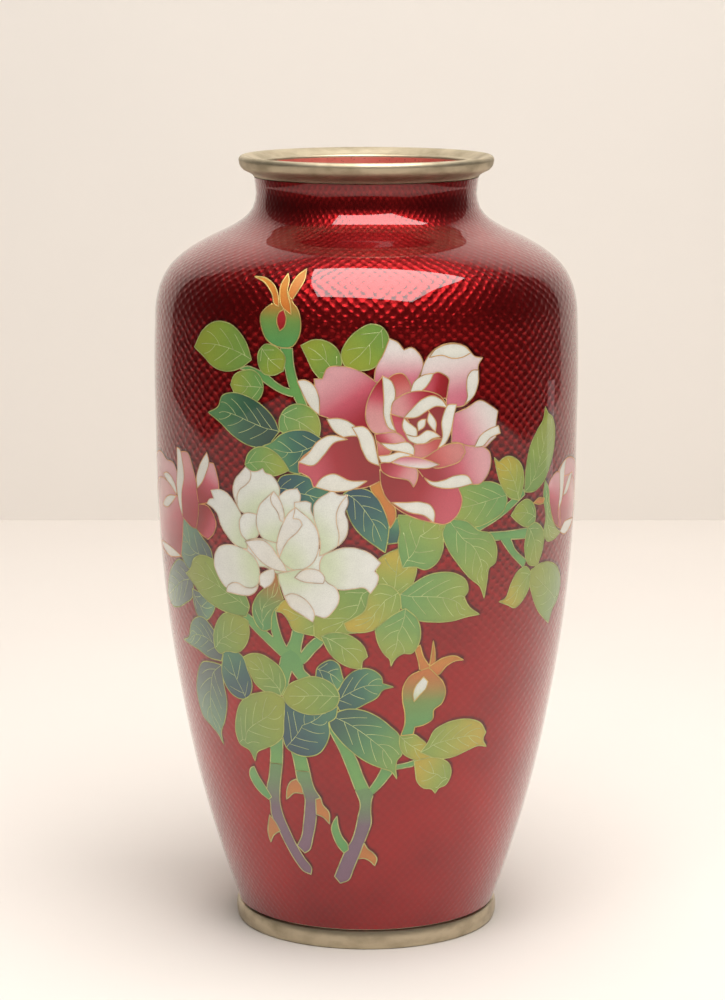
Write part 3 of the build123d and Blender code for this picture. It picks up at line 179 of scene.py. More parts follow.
# The rose spray, back to front: node, ramp, shade line and outline, smooth between its corners. A shade
# line is (x0, z0, x1, z1), or the centre (x, z) of a round shade, or None: along a leaf's midrib, and from
# the lowest point to the highest in any other cell.
CELLS = [
    ("green_stems", "stem", None,
     [(-26, 190), (-24.5, 184), (-23, 178.5), (-20, 172.5), (-17.2, 172.5), (-20.1, 179.4), (-21.7, 185),
      (-22.2, 190)]),
    ("green_stems", "stem", None,
     [(-40, 183), (-35.5, 182.4), (-32.3, 180.2), (-29, 178.3), (-25, 176.5), (-20, 175.5), (-20, 178),
      (-24, 178.3), (-27.3, 179.8), (-30, 181.8), (-33.5, 183.2), (-37, 184)]),
    ("green_stems", "stem", None,
     [(34, 134), (44, 138.3), (53.5, 143.7), (52.7, 145.5), (43, 140.5), (34, 136.5)]),
    ("green_stems", "stem", None,
     [(37, 131.3), (44, 131), (56, 130), (56, 133.3), (45, 133.5), (37, 134)]),
    ("green_stems", "stem", None,
     [(43.5, 131.3), (48, 126.2), (54.3, 121), (55.5, 123.3), (50, 127.4), (47.2, 131.2)]),
    ("green_stems", "stem", None,
     [(-62, 118), (-50, 111.7), (-43, 109), (-38, 104.5), (-33, 100.5), (-27.7, 96.3), (-25.5, 99),
      (-32, 103.5), (-37, 107.5), (-42.5, 110.5), (-50, 113), (-61, 119.5)]),
    ("green_stems", "stem", None,
     [(-32.2, 112), (-31.3, 106), (-30, 101.5), (-27.5, 96), (-22, 96), (-25.8, 99.7), (-28, 105),
      (-29, 111), (-29, 114)]),
    ("green_stems", "stem", None,
     [(-23.3, 106), (-24.5, 102), (-25.8, 99.5), (-24, 96), (-21.7, 97), (-20.8, 100.5), (-19.3, 106)]),
    ("green_stems", "stem", None,
     [(-21.8, 97), (-18.5, 101.2), (-15.2, 103.7), (-12.8, 104.5), (-13.5, 102), (-16.5, 98.7),
      (-20.3, 94.8), (-24, 93)]),
    ("green_stems", "stem", None,
     [(-20.5, 95), (-20.5, 93.3), (-18.3, 91), (-22, 89), (-24.5, 92.2), (-26, 95)]),
    ("green_stems", "stem", None,
     [(-27.7, 96.8), (-29, 93.3), (-31, 90), (-30, 84), (-26.5, 84), (-26, 88.2), (-24.6, 92.2),
      (-22, 92.5), (-20.8, 94.7), (-22, 97.2), (-24.5, 99)]),
    ("green_stems", "stem", None,
     [(10, 61.3), (13.5, 61.7), (17.5, 62.8), (18, 64.3), (13.5, 63.2), (10, 62.8)]),
    ("green_stems", "stem", None, [(1, 55.2), (2.3, 53.2), (5.5, 56), (9.5, 60.5), (6, 63), (3.5, 58.5)]),
    ("green_stems", "stem", None,
     [(-13, 77), (-13.2, 75), (-12, 72.5), (-9.5, 67.8), (-7, 62), (-4, 54.5), (1.2, 54.8), (-1, 59),
      (-3.5, 65), (-6, 69), (-9.5, 73)]),
    ("brown_stems", "bark", None,
     [(-4, 54.5), (-2.3, 50), (-3.3, 45.5), (-4.3, 41.5), (-6, 37.5), (-8, 35), (-11, 30), (-13.8, 25),
      (-11.5, 22.7), (-7.5, 24.2), (-5.5, 27.8), (-3.3, 32), (-1, 36.8), (0.5, 40), (1.8, 43.5), (1.6, 48),
      (1.9, 51.5), (2.4, 53.3), (1, 55)]),
    ("thorns", "thorn_green", None,
     [(-11.2, 45.8), (-12.7, 44), (-13.7, 41.5), (-13, 38.5), (-11.2, 35.2), (-9.2, 33.3), (-7.3, 34.5),
      (-7.5, 36.2), (-9.5, 38.7), (-10.8, 41.8)]),
    ("thorns", "thorn", None,
     [(-1, 37), (0.4, 35), (2.8, 33.4), (4.3, 31.5), (3.5, 29), (1.5, 30.6), (-1, 31.6), (-3.4, 31.4)]),
    ("green_stems", "stem", None,
     [(-36, 70), (-35.3, 66), (-36, 61.5), (-31, 61.5), (-30.3, 66), (-29.8, 70)]),
    ("brown_stems", "bark", None,
     [(-36, 61.5), (-37.3, 57), (-39.2, 51.8), (-38.5, 48.5), (-38.8, 44), (-36.5, 39), (-33.5, 33),
      (-30.5, 28.5), (-28, 26), (-24.5, 25), (-23.8, 27), (-26.5, 30.5), (-29.3, 34.8), (-31.5, 39.5),
      (-33.3, 44), (-34, 48.5), (-33.3, 53), (-32, 58), (-31, 61.5)]),
    ("thorns", "thorn_green", None,
     [(-43.6, 59.3), (-45.3, 58.6), (-46.5, 56.3), (-45.5, 53.7), (-42.5, 50.8), (-39, 49), (-37.5, 50),
      (-38.8, 52), (-41, 54.8), (-42.7, 57.3)]),
    ("thorns", "thorn", None,
     [(-39.8, 43.7), (-41.3, 40.5), (-42.3, 37), (-41.8, 34.2), (-39.6, 36.8), (-36, 38.8),
      (-37.5, 41.5)]),
    ("green_stems", "stem", None,
     [(-27.5, 68), (-26.5, 64), (-26, 60), (-20.5, 60), (-21.3, 64), (-22, 68)]),
    ("brown_stems", "bark", None,
     [(-26, 60), (-25.6, 57), (-24.2, 54), (-23.3, 51), (-23.8, 47.5), (-25, 42.5), (-26.3, 38.3),
      (-29, 34.5), (-26, 32.3), (-23.8, 33.5), (-21.6, 38), (-20, 42.5), (-19.2, 46.5), (-19, 51),
      (-17.2, 51.7), (-19.2, 54.5), (-20, 57), (-20.5, 60)]),
    ("thorns", "thorn", None,
     [(-26, 57.2), (-28.5, 56), (-30.2, 53.5), (-31, 50), (-29.8, 50.8), (-27.5, 52.4), (-23.8, 52.5),
      (-24.3, 55)]),
    ("thorns", "thorn", None,
     [(-19.1, 51), (-17.1, 51.6), (-16.5, 49.5), (-14.3, 47), (-14.3, 43), (-16.8, 45.2), (-19.3, 46)]),
    ("teal_leaves", "teal", None,
     [(-16.5, 91), (-16, 93.5), (-13.8, 95.5), (-11, 96.4), (-9, 95.3), (-7.9, 92), (-7.2, 89.5),
      (-9.5, 87), (-13, 88)]),
    ("teal_leaves", "teal", None,
     [(-10.5, 85), (-9, 87.3), (-7, 90.5), (-3.8, 93.2), (0, 94), (3.2, 92.8), (4.9, 91), (5.2, 89.2),
      (8.8, 88), (5.2, 87), (3.5, 84.8), (0, 82.9), (-4, 81), (-9, 80.5)]),
    ("teal_leaves", "teal_green", None,
     [(-12, 79), (-6, 81), (-1.5, 80.7), (3.5, 78.7), (8, 75.4), (11.2, 72.3), (12, 69), (12.4, 66.2),
      (10.8, 64.3), (10.4, 62), (10.9, 58.2), (8.9, 60.6), (5.5, 61.8), (0, 64), (-5, 67.2), (-9.5, 71.3),
      (-12.5, 76)]),
    ("blue_grey_leaves", "deep_teal", None,
     [(-28.5, 83), (-20, 82), (-9.5, 81.5), (-10.5, 78), (-12.8, 76.5), (-12.6, 73), (-14, 69.3),
      (-16.5, 66.4), (-21, 65), (-25.5, 65.5), (-28.7, 67.3), (-29.8, 71), (-29.5, 77)]),
    ("light_green_leaves", "light", None,
     [(-42.9, 94.5), (-39.8, 96), (-35.5, 96.5), (-31.5, 95), (-28.7, 93), (-27, 88), (-29, 84),
      (-35, 84.6), (-38.5, 86.7), (-40.7, 90.5)]),
    ("light_green_leaves", "light", None,
     [(-27.7, 83), (-32, 84.7), (-37.5, 84), (-42.5, 82.2), (-46.5, 79), (-49, 74.5), (-50.2, 69.5),
      (-49.2, 66.2), (-44.5, 64.2), (-42.8, 61.2), (-41.2, 64.2), (-37.5, 66), (-33, 68), (-30, 70.5),
      (-28.8, 76)]),
    ("light_green_leaves", "light", None,
     [(-28.5, 84), (-25.5, 88), (-22, 89.7), (-18, 90.9), (-13.5, 90.2), (-10.3, 88), (-8.9, 85),
      (-10, 81.8), (-13.5, 79.7), (-18, 78.7), (-22.5, 79.2), (-27.5, 82)]),
    ("yellow_leaves", "yellow", None,
     [(11.3, 72.3), (13.5, 72.8), (16.5, 72.4), (19, 70.8), (21.5, 68.7), (24, 65.5), (20, 63.6),
      (16, 64.6), (12.8, 66.5), (11.5, 69)]),
    ("yellow_leaves", "yellow", None,
     [(19, 66.5), (21.5, 69.5), (23.5, 73.2), (27, 75), (32, 75.9), (37.5, 75.4), (42, 73.5), (44.7, 70.3),
      (43.9, 68.2), (45.9, 65.5), (42, 66.3), (37, 65.3), (32, 64), (25.5, 64)]),
    ("yellow_leaves", "yellow", None,
     [(16.9, 63.7), (17.6, 60.5), (18.5, 57), (21, 54.7), (24.5, 53.9), (26, 52.5), (27, 53.9), (30, 55),
      (31.6, 58), (30.8, 61.3), (28, 63.4), (23, 64.5)]),
    ("rose_buds", "sepal", None,
     [(17.5, 91), (16.8, 95), (15.3, 99.7), (17, 100.9), (18.2, 97.3), (20.5, 93.5), (20.5, 90)]),
    ("rose_buds", "sepal", None,
     [(19.8, 91), (20.5, 95), (20.9, 98.3), (21.3, 102), (22.1, 98), (22.3, 94), (22, 91)]),
    ("rose_buds", "sepal", None,
     [(20.5, 94), (25, 96.3), (29, 96.6), (32.3, 95), (29.5, 95), (26.5, 93.8), (23.5, 91), (20.5, 91)]),
    ("rose_buds", "calyx", None,
     [(17.5, 92.8), (14, 91.2), (12, 88), (11.9, 83.5), (12.8, 79.5), (12.9, 76), (11.7, 72.3), (16, 72.5),
      (16.5, 74.8), (19.8, 75.4), (22.7, 77.2), (22.8, 79.8), (25.5, 81.8), (26.6, 85), (25.5, 88.5),
      (22.8, 91.3), (20.2, 93.6)]),
    ("rose_buds", "white", None,
     [(18.6, 90.8), (20.2, 89.2), (19.6, 87), (17.8, 85.2), (15.8, 83), (15.3, 85), (16, 87.8)]),
    ("blue_grey_leaves", "grey", None,
     [(-89, 107), (-84, 113), (-78, 118), (-71, 121), (-66.5, 119.5), (-64, 115.5), (-64.5, 111),
      (-70.5, 107.3), (-77, 105), (-84, 104.5)]),
    ("blue_grey_leaves", "grey", None,
     [(-71.5, 134.5), (-66, 134.4), (-61.5, 133.3), (-57, 130), (-53.3, 126.8), (-52.3, 123), (-58, 121),
      (-66.5, 119.3), (-70.3, 123), (-72, 128.5)]),
    ("blue_grey_leaves", "grey", None,
     [(-64.7, 113), (-64.5, 108.5), (-63, 105), (-58.5, 104), (-54.3, 107), (-52.5, 110), (-58, 112)]),
    ("blue_grey_leaves", "grey", None,
     [(-75.5, 94.9), (-70.3, 97), (-68.3, 100.7), (-65, 103.5), (-60, 104.7), (-54.8, 101.5), (-51, 95.5),
      (-52.7, 92), (-59, 92.1), (-65, 93.6), (-70, 94.2)]),
    ("blue_grey_leaves", "grey", None,
     [(-52.8, 90.7), (-58, 90.8), (-63.5, 89.8), (-68, 85.3), (-71, 78.5), (-69.5, 71.7), (-64, 69),
      (-60.5, 67), (-58.3, 64.2), (-58.5, 67.5), (-55.2, 72.5), (-52.6, 79), (-53, 85)]),
    ("blue_grey_leaves", "deep_teal", None,
     [(-50.5, 95.7), (-46, 96.3), (-42.7, 94.8), (-41.3, 91), (-40, 87), (-41, 83.2), (-44.7, 81),
      (-48.5, 81.5), (-52, 84.3), (-53.2, 88), (-52.2, 92)]),
    ("light_green_leaves", "light", None,
     [(-55.3, 95.8), (-55.2, 99.5), (-53, 104), (-49, 107.6), (-44, 108.3), (-39.3, 106.5), (-39.2, 102.5),
      (-41.3, 98.3), (-44.3, 96), (-49.5, 95.6), (-53, 94.4)]),
    ("light_green_leaves", "light", None,
     [(-67.8, 117.3), (-65, 119), (-62.5, 122.5), (-58.5, 124.3), (-52, 123.8), (-45, 119.5),
      (-40.3, 115.2), (-38.5, 111), (-40, 107.8), (-45, 107.8), (-52, 109), (-59, 111.6), (-64, 115)]),
    ("yellow_leaves", "bract", None,
     [(-28.4, 123), (-29.3, 120.3), (-32, 117.8), (-35.5, 114.5), (-37.3, 111), (-36.9, 107), (-36, 105.5),
      (-34, 104), (-30.9, 104.9), (-30, 110), (-26, 114), (-27.3, 118), (-27.8, 121)]),
    ("yellow_leaves", "yellow", None,
     [(-29, 110.5), (-27, 113.3), (-24.5, 115), (-16, 112), (-14, 108), (-16, 103.8), (-20, 104.3),
      (-23.4, 105.3), (-25, 108.3), (-27, 110.3)]),
    ("light_green_leaves", "light", None,
     [(-16.5, 103.8), (-16.5, 109.5), (-12, 111), (-9, 114), (-8, 119), (-3, 121), (1, 118), (1, 112),
      (3, 108.3), (2.3, 106.2), (-2, 105.3), (-7, 104.6), (-13, 102)]),
    ("yellow_leaves", "yellow", None,
     [(3, 124.5), (3.5, 127.5), (6.5, 129.6), (10, 131), (15, 127), (14.8, 122), (13.7, 119.4),
      (10, 116.6), (5, 118)]),
    ("yellow_leaves", "yellow", None,
     [(-0.3, 112.5), (0.8, 117), (2.5, 120), (5.5, 120.1), (8.5, 118.7), (10.2, 116.5), (10.7, 113.7),
      (9, 110.5), (5.5, 107.8), (2.4, 106.1), (-2.5, 105.2), (-6, 105.8), (-7, 108)]),
    ("light_green_leaves", "light", None,
     [(-14.3, 103.8), (-13, 100.8), (-11.2, 98), (-8.6, 95.8), (-5, 94.2), (-1.6, 93.8), (-1.2, 96.3),
      (0.3, 97.7), (-0.7, 100.6), (-3.3, 103.2), (-6, 104.6), (-11, 105)]),
    ("green_leaves", "green", None,
     [(10.2, 116.9), (14, 119.8), (18.6, 122.3), (23, 123), (28, 122.2), (31.8, 119.3), (32.3, 116.3),
      (31.1, 114.8), (32.7, 112), (37, 108.8), (32.3, 108.5), (27.5, 107.7), (21, 107.8), (15.5, 108.8),
      (11.5, 111)]),
    ("green_leaves", "green", None,
     [(2.6, 106.3), (3.4, 102.5), (6, 98), (7.3, 96.8), (7.8, 94.6), (8.7, 96.4), (11.5, 98.4),
      (14.3, 98.4), (16.3, 100.8), (17, 105), (15.8, 109), (12, 112.5), (8.5, 110.8)]),
    ("green_leaves", "green", None,
     [(9.4, 141), (9.5, 134), (9.7, 129.5), (10.9, 124.9), (14.7, 125.1), (18, 124.1), (21, 125.5),
      (23.3, 129.5), (23.5, 134.5), (24.5, 140)]),
    ("green_leaves", "green", None,
     [(45, 140.5), (39, 137), (35, 136), (28, 137), (22, 136), (24, 148), (28.6, 149), (34, 149.3),
      (40, 149), (43.5, 147.3), (45.8, 142.8)]),
    ("green_leaves", "green", None,
     [(23.2, 134.8), (24.5, 131), (28, 125.8), (33, 120.3), (36.7, 117.3), (38.4, 113.7), (39.2, 119),
      (39.9, 123), (41.8, 124), (42.5, 127.5), (41.3, 131.3), (39.5, 133.5), (35.5, 134.7), (31, 138),
      (25, 139)]),
    ("green_leaves", "light", None,
     [(63, 169.3), (61.8, 165.5), (59, 162.8), (55.5, 158), (53.8, 152), (53.2, 144.5), (58, 144.2),
      (62.5, 146.3), (66.5, 151), (69, 157), (69, 162.5), (67.2, 165.8), (64.7, 167.2)]),
    ("yellow_leaves", "yellow", None,
     [(40.5, 156.3), (42.3, 154.9), (45.2, 156.2), (49, 155.3), (52, 152.3), (52.9, 148.5), (52, 144.5),
      (50.8, 142.3), (46.5, 143.8), (43.3, 147.8), (41.5, 152.5)]),
    ("light_green_leaves", "light", None,
     [(47.6, 138), (50.5, 141), (54.5, 142.2), (57.8, 140.3), (59.2, 136.5), (58.5, 133.7), (53.5, 134),
      (50, 136)]),
    ("light_green_leaves", "light", None,
     [(55.3, 133.4), (59, 134.4), (62, 133), (64.5, 130), (64, 125.5), (61.5, 120.5), (56.5, 122),
      (54.3, 127)]),
    ("yellow_leaves", "yellow", None,
     [(44.4, 111.8), (47, 112.6), (49, 116.7), (51.5, 120.1), (55.5, 121.3), (58.5, 119), (58, 114.7),
      (55.3, 111), (51.5, 109), (48.3, 110.3)]),
    ("green_leaves", "light", None,
     [(58.3, 119.8), (63, 121), (70.5, 120.2), (76.5, 117.2), (80.3, 111.5), (79, 107.5), (74.8, 104.5),
      (72.8, 100.7), (69, 102.8), (64, 106.3), (60, 111.5), (58, 116)]),
    ("light_green_leaves", "light", None,
     [(-59.2, 187.8), (-55.5, 193), (-49.5, 196.3), (-43, 195.7), (-38, 191.5), (-35.6, 186),
      (-39.5, 183.3), (-45, 181.9), (-50.5, 182.9), (-55, 185.7)]),
    ("light_green_leaves", "light", None,
     [(-31, 190.8), (-33.2, 188.5), (-33.3, 185), (-31.5, 182.2), (-28.5, 181.8), (-25, 183.3),
      (-24.5, 187.5), (-27, 190)]),
    ("green_leaves", "green", None,
     [(-43.3, 178), (-42, 180.8), (-38.5, 182.6), (-35, 182.9), (-32.3, 180.8), (-31.6, 177.5),
      (-33.5, 174), (-37, 173), (-41, 174.7)]),
    ("green_leaves", "green", None,
     [(-26.4, 165.5), (-26.3, 169), (-24.5, 172), (-21, 173.7), (-17.5, 173.2), (-14.8, 171), (-13.7, 168),
      (-14, 164), (-20, 163)]),
    ("teal_leaves", "dark", None,
     [(-52.7, 168.8), (-48.2, 171.2), (-46.8, 174.2), (-42.5, 175.7), (-37, 175), (-31.5, 172.3),
      (-28, 168.8), (-26.4, 165.2), (-31.5, 160.2), (-36, 160.2), (-42, 162.5), (-48, 166.5)]),
    ("blue_grey_leaves", "deep_teal", None,
     [(-28, 148), (-26, 151.7), (-22, 152.7), (-17.5, 152), (-14, 150), (-10, 147), (-14, 141), (-21, 142),
      (-25, 145)]),
    ("teal_leaves", "teal", None,
     [(-32, 160.5), (-29, 161.8), (-26, 164.3), (-22, 165.8), (-17.3, 165.8), (-13, 163.5), (-14, 157),
      (-20, 153), (-24.5, 154), (-27.5, 157.5)]),
    ("green_leaves", "green", None,
     [(-38.3, 154.5), (-37.3, 157.5), (-34.5, 159.8), (-31.5, 160.3), (-28, 159), (-25.2, 156.5),
      (-23.4, 153.8), (-27, 152.2), (-36.5, 152.5)]),
    ("light_green_leaves", "light", None,
     [(-19.6, 191), (-15.5, 192.8), (-11.5, 192.3), (-8.5, 190), (-7.3, 186), (-9, 182), (-13.6, 181.2),
      (-16, 184), (-17.5, 187)]),
    ("light_green_leaves", "light", None,
     [(-7.5, 188.2), (-5.8, 192.5), (-2.5, 195.8), (1.2, 197.5), (4.5, 196.7), (6.5, 193.5), (6, 190),
      (4.2, 187), (2, 184.8), (-1.5, 184), (-5.5, 184.5)]),
    ("teal_leaves", "teal", None, [(6, 137), (9.3, 140.3), (9.9, 136), (9.3, 132.6), (6.3, 132.3)]),
    ("blue_grey_leaves", "deep_teal", None,
     [(-6.8, 147.5), (-4, 149), (0.5, 148.5), (4, 145.5), (6.5, 140.5), (6.5, 135), (5.6, 129.7),
      (2.3, 132), (-1.3, 134.8), (-4.2, 138.3), (-5.8, 142)]),
    ("rose_buds", "sepal", None,
     [(3.8, 153.8), (1, 151.3), (1.3, 148.7), (3.8, 145.3), (5.6, 141.5), (7, 137), (8.6, 140), (8.5, 143),
      (6.3, 146.3), (4.8, 149.5)]),
    ("rose_buds", "calyx", None,
     [(-32.9, 199.4), (-32.3, 195.6), (-30.4, 192.1), (-27.9, 190.6), (-25.8, 190.1), (-22.3, 190.6),
      (-20.3, 193.3), (-19.9, 198.6), (-21.2, 201.7), (-22.9, 203.4), (-24.3, 206), (-26.9, 206.6),
      (-28.1, 203.6), (-30.8, 201.9)]),
    ("rose_buds", "sepal", None,
     [(-23.1, 204), (-21.7, 206.5), (-20.4, 209.7), (-20.9, 212.6), (-23.1, 210.8), (-24.5, 207.5),
      (-24.6, 205.5)]),
    ("rose_buds", "sepal", None,
     [(-27.1, 202), (-28, 205), (-29.6, 207.3), (-34.6, 209.7), (-38.8, 209.9), (-33.5, 208.2),
      (-30.2, 205.4), (-28.4, 202.4)]),
    ("rose_buds", "sepal", None,
     [(-22.9, 199.8), (-23.4, 202.4), (-25.2, 206.4), (-25.6, 209.3), (-26.9, 211.2), (-27.9, 208.2),
      (-27.5, 205.3), (-26.2, 202.1)]),
    ("rose_buds", "red", None,
     [(-27.4, 197.7), (-26.8, 200.4), (-25.4, 201.2), (-24.4, 198.5), (-25, 196), (-26.3, 195)]),
    ("left_rose_petals", "pink", (-90, 150, -90, 130),
     [(-104, 135), (-102, 144), (-95, 150), (-86, 152.5), (-78.6, 151), (-72.7, 150.5), (-70, 147),
      (-72, 140), (-80, 134), (-92, 130)]),
    ("left_rose_petals", "fold", None,
     [(-83, 146), (-79, 147), (-74.5, 146), (-72, 144), (-71, 141.5), (-75.5, 142.5), (-79.5, 144.5)]),
    ("left_rose_petals", "rose", (-72, 125, -80, 142),
     [(-104, 128), (-98, 138), (-88, 144), (-80, 144.5), (-72, 141.5), (-67.5, 137), (-68, 131),
      (-70.3, 122.5), (-80, 120.8), (-92, 121.5)]),
    ("left_rose_petals", "fold", None,
     [(-92, 123.5), (-86, 121.5), (-80.5, 120.6), (-75, 121.2), (-70, 122.2), (-76, 123.5), (-84, 124)]),
    ("left_rose_petals", "fold", None,
     [(-85, 136), (-81, 138.8), (-76.5, 140.3), (-71.5, 140.8), (-75, 138.3), (-80, 136)]),
    ("left_rose_petals", "rose", (-60, 136, -64, 153),
     [(-70, 154), (-66.5, 155.2), (-63.5, 155.2), (-61.3, 152), (-59.3, 147), (-57.5, 141), (-57, 135),
      (-60, 132.6), (-67.7, 134.7), (-68.5, 142)]),
    ("left_rose_petals", "fold", None,
     [(-70.3, 156), (-68.4, 155.7), (-67, 152.7), (-66, 147.7), (-67.7, 142.3), (-67.7, 135),
      (-69.8, 138.6), (-71, 144), (-70.3, 150)]),
    ("left_rose_petals", "pink", (-51, 153, -56, 142),
     [(-54, 153.5), (-50.7, 153.5), (-49.3, 150), (-48.7, 146), (-51, 142.5), (-54.5, 141), (-58.2, 140.2),
      (-59, 146), (-57, 151)]),
    ("left_rose_petals", "fold", None,
     [(-53.7, 156.6), (-52.8, 154), (-54.3, 150), (-56.5, 146.8), (-58.6, 145), (-59, 148),
      (-57.3, 152.2)]),
    ("left_rose_petals", "deep", (-58, 138, -51, 134),
     [(-58.2, 140.2), (-54, 140.2), (-51.2, 137.7), (-50.3, 135.2), (-51.6, 132), (-54.3, 129.8),
      (-57.3, 130.9), (-60, 132.5), (-58.8, 136)]),
    ("right_rose_petals", "pink", (76, 150, 90, 130),
     [(71, 147.5), (78, 151), (88, 150), (96, 146), (101, 139), (98, 132), (90, 128.5), (80, 129),
      (73, 131.5), (69, 138)]),
    ("right_rose_petals", "fold", None,
     [(73.3, 148), (75.7, 150.2), (79, 151.3), (77.8, 148), (77.2, 144), (75.8, 138.8), (73.4, 136),
      (73.8, 141)]),
    ("right_rose_petals", "rose", (78, 132, 84, 145),
     [(77.4, 146), (84, 145.5), (91, 142), (96, 136), (92, 131.5), (84, 131.3), (76.5, 130.2), (75, 136),
      (76.8, 141)]),
    ("right_rose_petals", "fold", None,
     [(77, 140), (80, 143.5), (83.2, 145.6), (87, 145.9), (83.5, 142.6), (80, 140.3)]),
    ("right_rose_petals", "fold", None,
     [(75.5, 129), (79.5, 131.3), (85, 131.3), (92, 130.5), (86, 128.3), (80, 127.5)]),
    ("right_rose_petals", "pink", (73, 147, 69, 134),
     [(66.3, 145.5), (68.6, 147.4), (71.4, 148.3), (73.5, 147.8), (74, 141), (73.3, 136), (74.8, 130.3),
      (71, 132.3), (68, 136.5), (66, 141)]),
    ("green_leaves", "green", None,
     [(63, 142.5), (63.7, 147), (66, 144), (67, 139), (69, 134.5), (72, 131), (76, 128.8), (71, 127.4),
      (66.5, 127.6), (64.4, 129.5), (64.8, 135)]),
    ("rose_buds", "sepal", None,
     [(57.8, 140.6), (60.5, 141.8), (63.7, 141.3), (63.2, 139.8), (60.5, 139.8)]),
    ("white_rose_petals", "white", (-25.5, 125.5),
     [(-38.9, 132.1), (-31.8, 132.5), (-20.6, 131.5), (-14.1, 130.6), (-10.1, 130.1), (-10.2, 122.8),
      (-15.2, 122), (-24.1, 121.4), (-26.8, 121.8), (-32.2, 123.9), (-36.5, 123.4), (-39.9, 128.6)]),
    ("white_rose_petals", "white", (-25.5, 125.5),
     [(-52.2, 145.2), (-48.3, 145.9), (-45.3, 145.1), (-43, 143.2), (-41.2, 141), (-40, 139),
      (-40.5, 136.5), (-40.2, 133.5), (-38.6, 131.5), (-38, 128.8), (-39.9, 128.9), (-42.9, 129.8),
      (-45.9, 132.2), (-48.2, 135), (-49.8, 138.5), (-51.7, 140), (-54.1, 140.9), (-53, 142.3),
      (-51, 142.9)]),
    ("white_rose_petals", "white", (-25.5, 125.5),
     [(-38.1, 153.8), (-39.8, 152), (-41.8, 150), (-42.9, 147.2), (-42.7, 144.5), (-41.4, 141.9),
      (-40.3, 140.2), (-38.3, 139.7), (-34.2, 139.8), (-30.2, 142.3), (-26.6, 146.2), (-26.6, 148.6),
      (-27.7, 150.6), (-29.3, 152), (-31.3, 152.6), (-32.1, 153.8), (-33.7, 152.9), (-35.8, 152.6)]),
    ("white_rose_petals", "cream", (-25.5, 125.5),
     [(-38.1, 153.8), (-39.8, 152), (-41.8, 150), (-42.9, 147.2), (-42.7, 144.5), (-41.4, 141.9),
      (-41.3, 144.9), (-40.3, 146.7), (-38.1, 148.3), (-36.5, 150.1), (-36.3, 152.4)]),
    ("white_rose_petals", "white", (-25.5, 125.5),
     [(-40.6, 137.6), (-39, 139.5), (-36.4, 140), (-33.9, 139.6), (-33.7, 136.9), (-33.6, 134.5),
      (-34.7, 132.6), (-36.7, 132), (-38.4, 131.4), (-40.2, 133.2), (-40.8, 135.4)]),
    ("white_rose_petals", "white", (-25.5, 125.5),
     [(-26.8, 145.8), (-24.8, 147.5), (-20.9, 148.5), (-19.9, 146.7), (-20.2, 144.4), (-21.7, 142),
      (-23.6, 140.4), (-25.1, 138.5), (-25.8, 142.5)]),
    ("white_rose_petals", "white", (-25.5, 125.5),
     [(-21.8, 144.3), (-19.8, 144.6), (-18.1, 144.8), (-16.6, 144.3), (-16.6, 141.8), (-15.7, 140.1),
      (-14.5, 137.2), (-16.7, 138), (-19.2, 140), (-21.4, 141.1)]),
    ("white_rose_petals", "white", (-25.5, 125.5),
     [(-28.4, 147.2), (-30.8, 145.1), (-33.2, 142.7), (-34.2, 140.2), (-34.6, 137.6), (-34, 134.8),
      (-32.3, 132.6), (-29.7, 131.9), (-26.9, 131.6), (-26.3, 135.4), (-25.2, 138.4), (-26.2, 141.1),
      (-27.8, 142.4), (-29.3, 143.9), (-29.4, 145.6)]),
    ("white_rose_petals", "cream", (-25.5, 125.5),
     [(-28.4, 147.2), (-26.9, 145.4), (-25.7, 143.1), (-25.1, 140.5), (-25.2, 138.2), (-26.2, 138.4),
      (-27.1, 140.7), (-28, 142), (-29.1, 143.3), (-29.5, 145.4)]),
    ("white_rose_petals", "white", (-25.5, 125.5),
     [(-15.9, 141.3), (-15.7, 143.8), (-14.3, 145.6), (-11.8, 147.3), (-10.1, 148.3), (-8.7, 147.2),
      (-5.7, 147), (-5.4, 144.7), (-6.3, 141.7), (-5.5, 139.2), (-5.6, 136.1), (-7, 133.2), (-8.9, 131.5),
      (-11.3, 129.8), (-14.3, 128.4), (-13.9, 131.8), (-14.5, 135.7), (-15.6, 139)]),
    ("white_rose_petals", "cream", (-25.5, 125.5),
     [(-5.7, 147), (-5.4, 144.7), (-6.3, 141.7), (-5.5, 139.2), (-5.6, 136.1), (-7, 133.2), (-8.6, 131.6),
      (-8.2, 135), (-8.9, 138.3), (-8.9, 141.6), (-7.8, 144.3)]),
    ("white_rose_petals", "white", (-25.5, 125.5),
     [(-14.2, 126), (-13.1, 128.5), (-10.1, 130.1), (-6.5, 131.2), (-2.4, 130.9), (0.8, 129.6),
      (4.3, 126.6), (3.1, 125), (2.4, 124.1), (3.5, 122.7), (3.2, 120.3), (1.2, 117.3), (-0.5, 118.9),
      (-4, 118.7), (-7.2, 118.3), (-9.7, 118.7), (-12, 120), (-13.6, 122.3)]),
    ("white_rose_petals", "white", (-25.5, 125.5),
     [(-21.5, 142.8), (-23.6, 141), (-25.7, 137.5), (-27.2, 133.8), (-27.8, 130.4), (-27.1, 127.3),
      (-25, 124.9), (-21.8, 123.7), (-18.6, 124.5), (-16, 126.7), (-14.7, 129.6), (-14.3, 133),
      (-14.9, 136.3), (-16.6, 138.9), (-19.2, 141.1)]),
    ("white_rose_petals", "cream", (-25.5, 125.5),
     [(-21.5, 142.8), (-23.6, 141), (-25.7, 137.5), (-27.2, 133.8), (-27.8, 130.4), (-27, 127.2),
      (-25.8, 129.9), (-23.9, 132.8), (-21, 135.4), (-19.4, 137.6), (-20.2, 139.1), (-22.3, 139.4)]),
    ("white_rose_petals", "white", (-25.5, 125.5),
     [(-51.7, 125), (-49.9, 127.8), (-46.2, 129.3), (-42.2, 129.3), (-38.1, 128.2), (-35.7, 126.5),
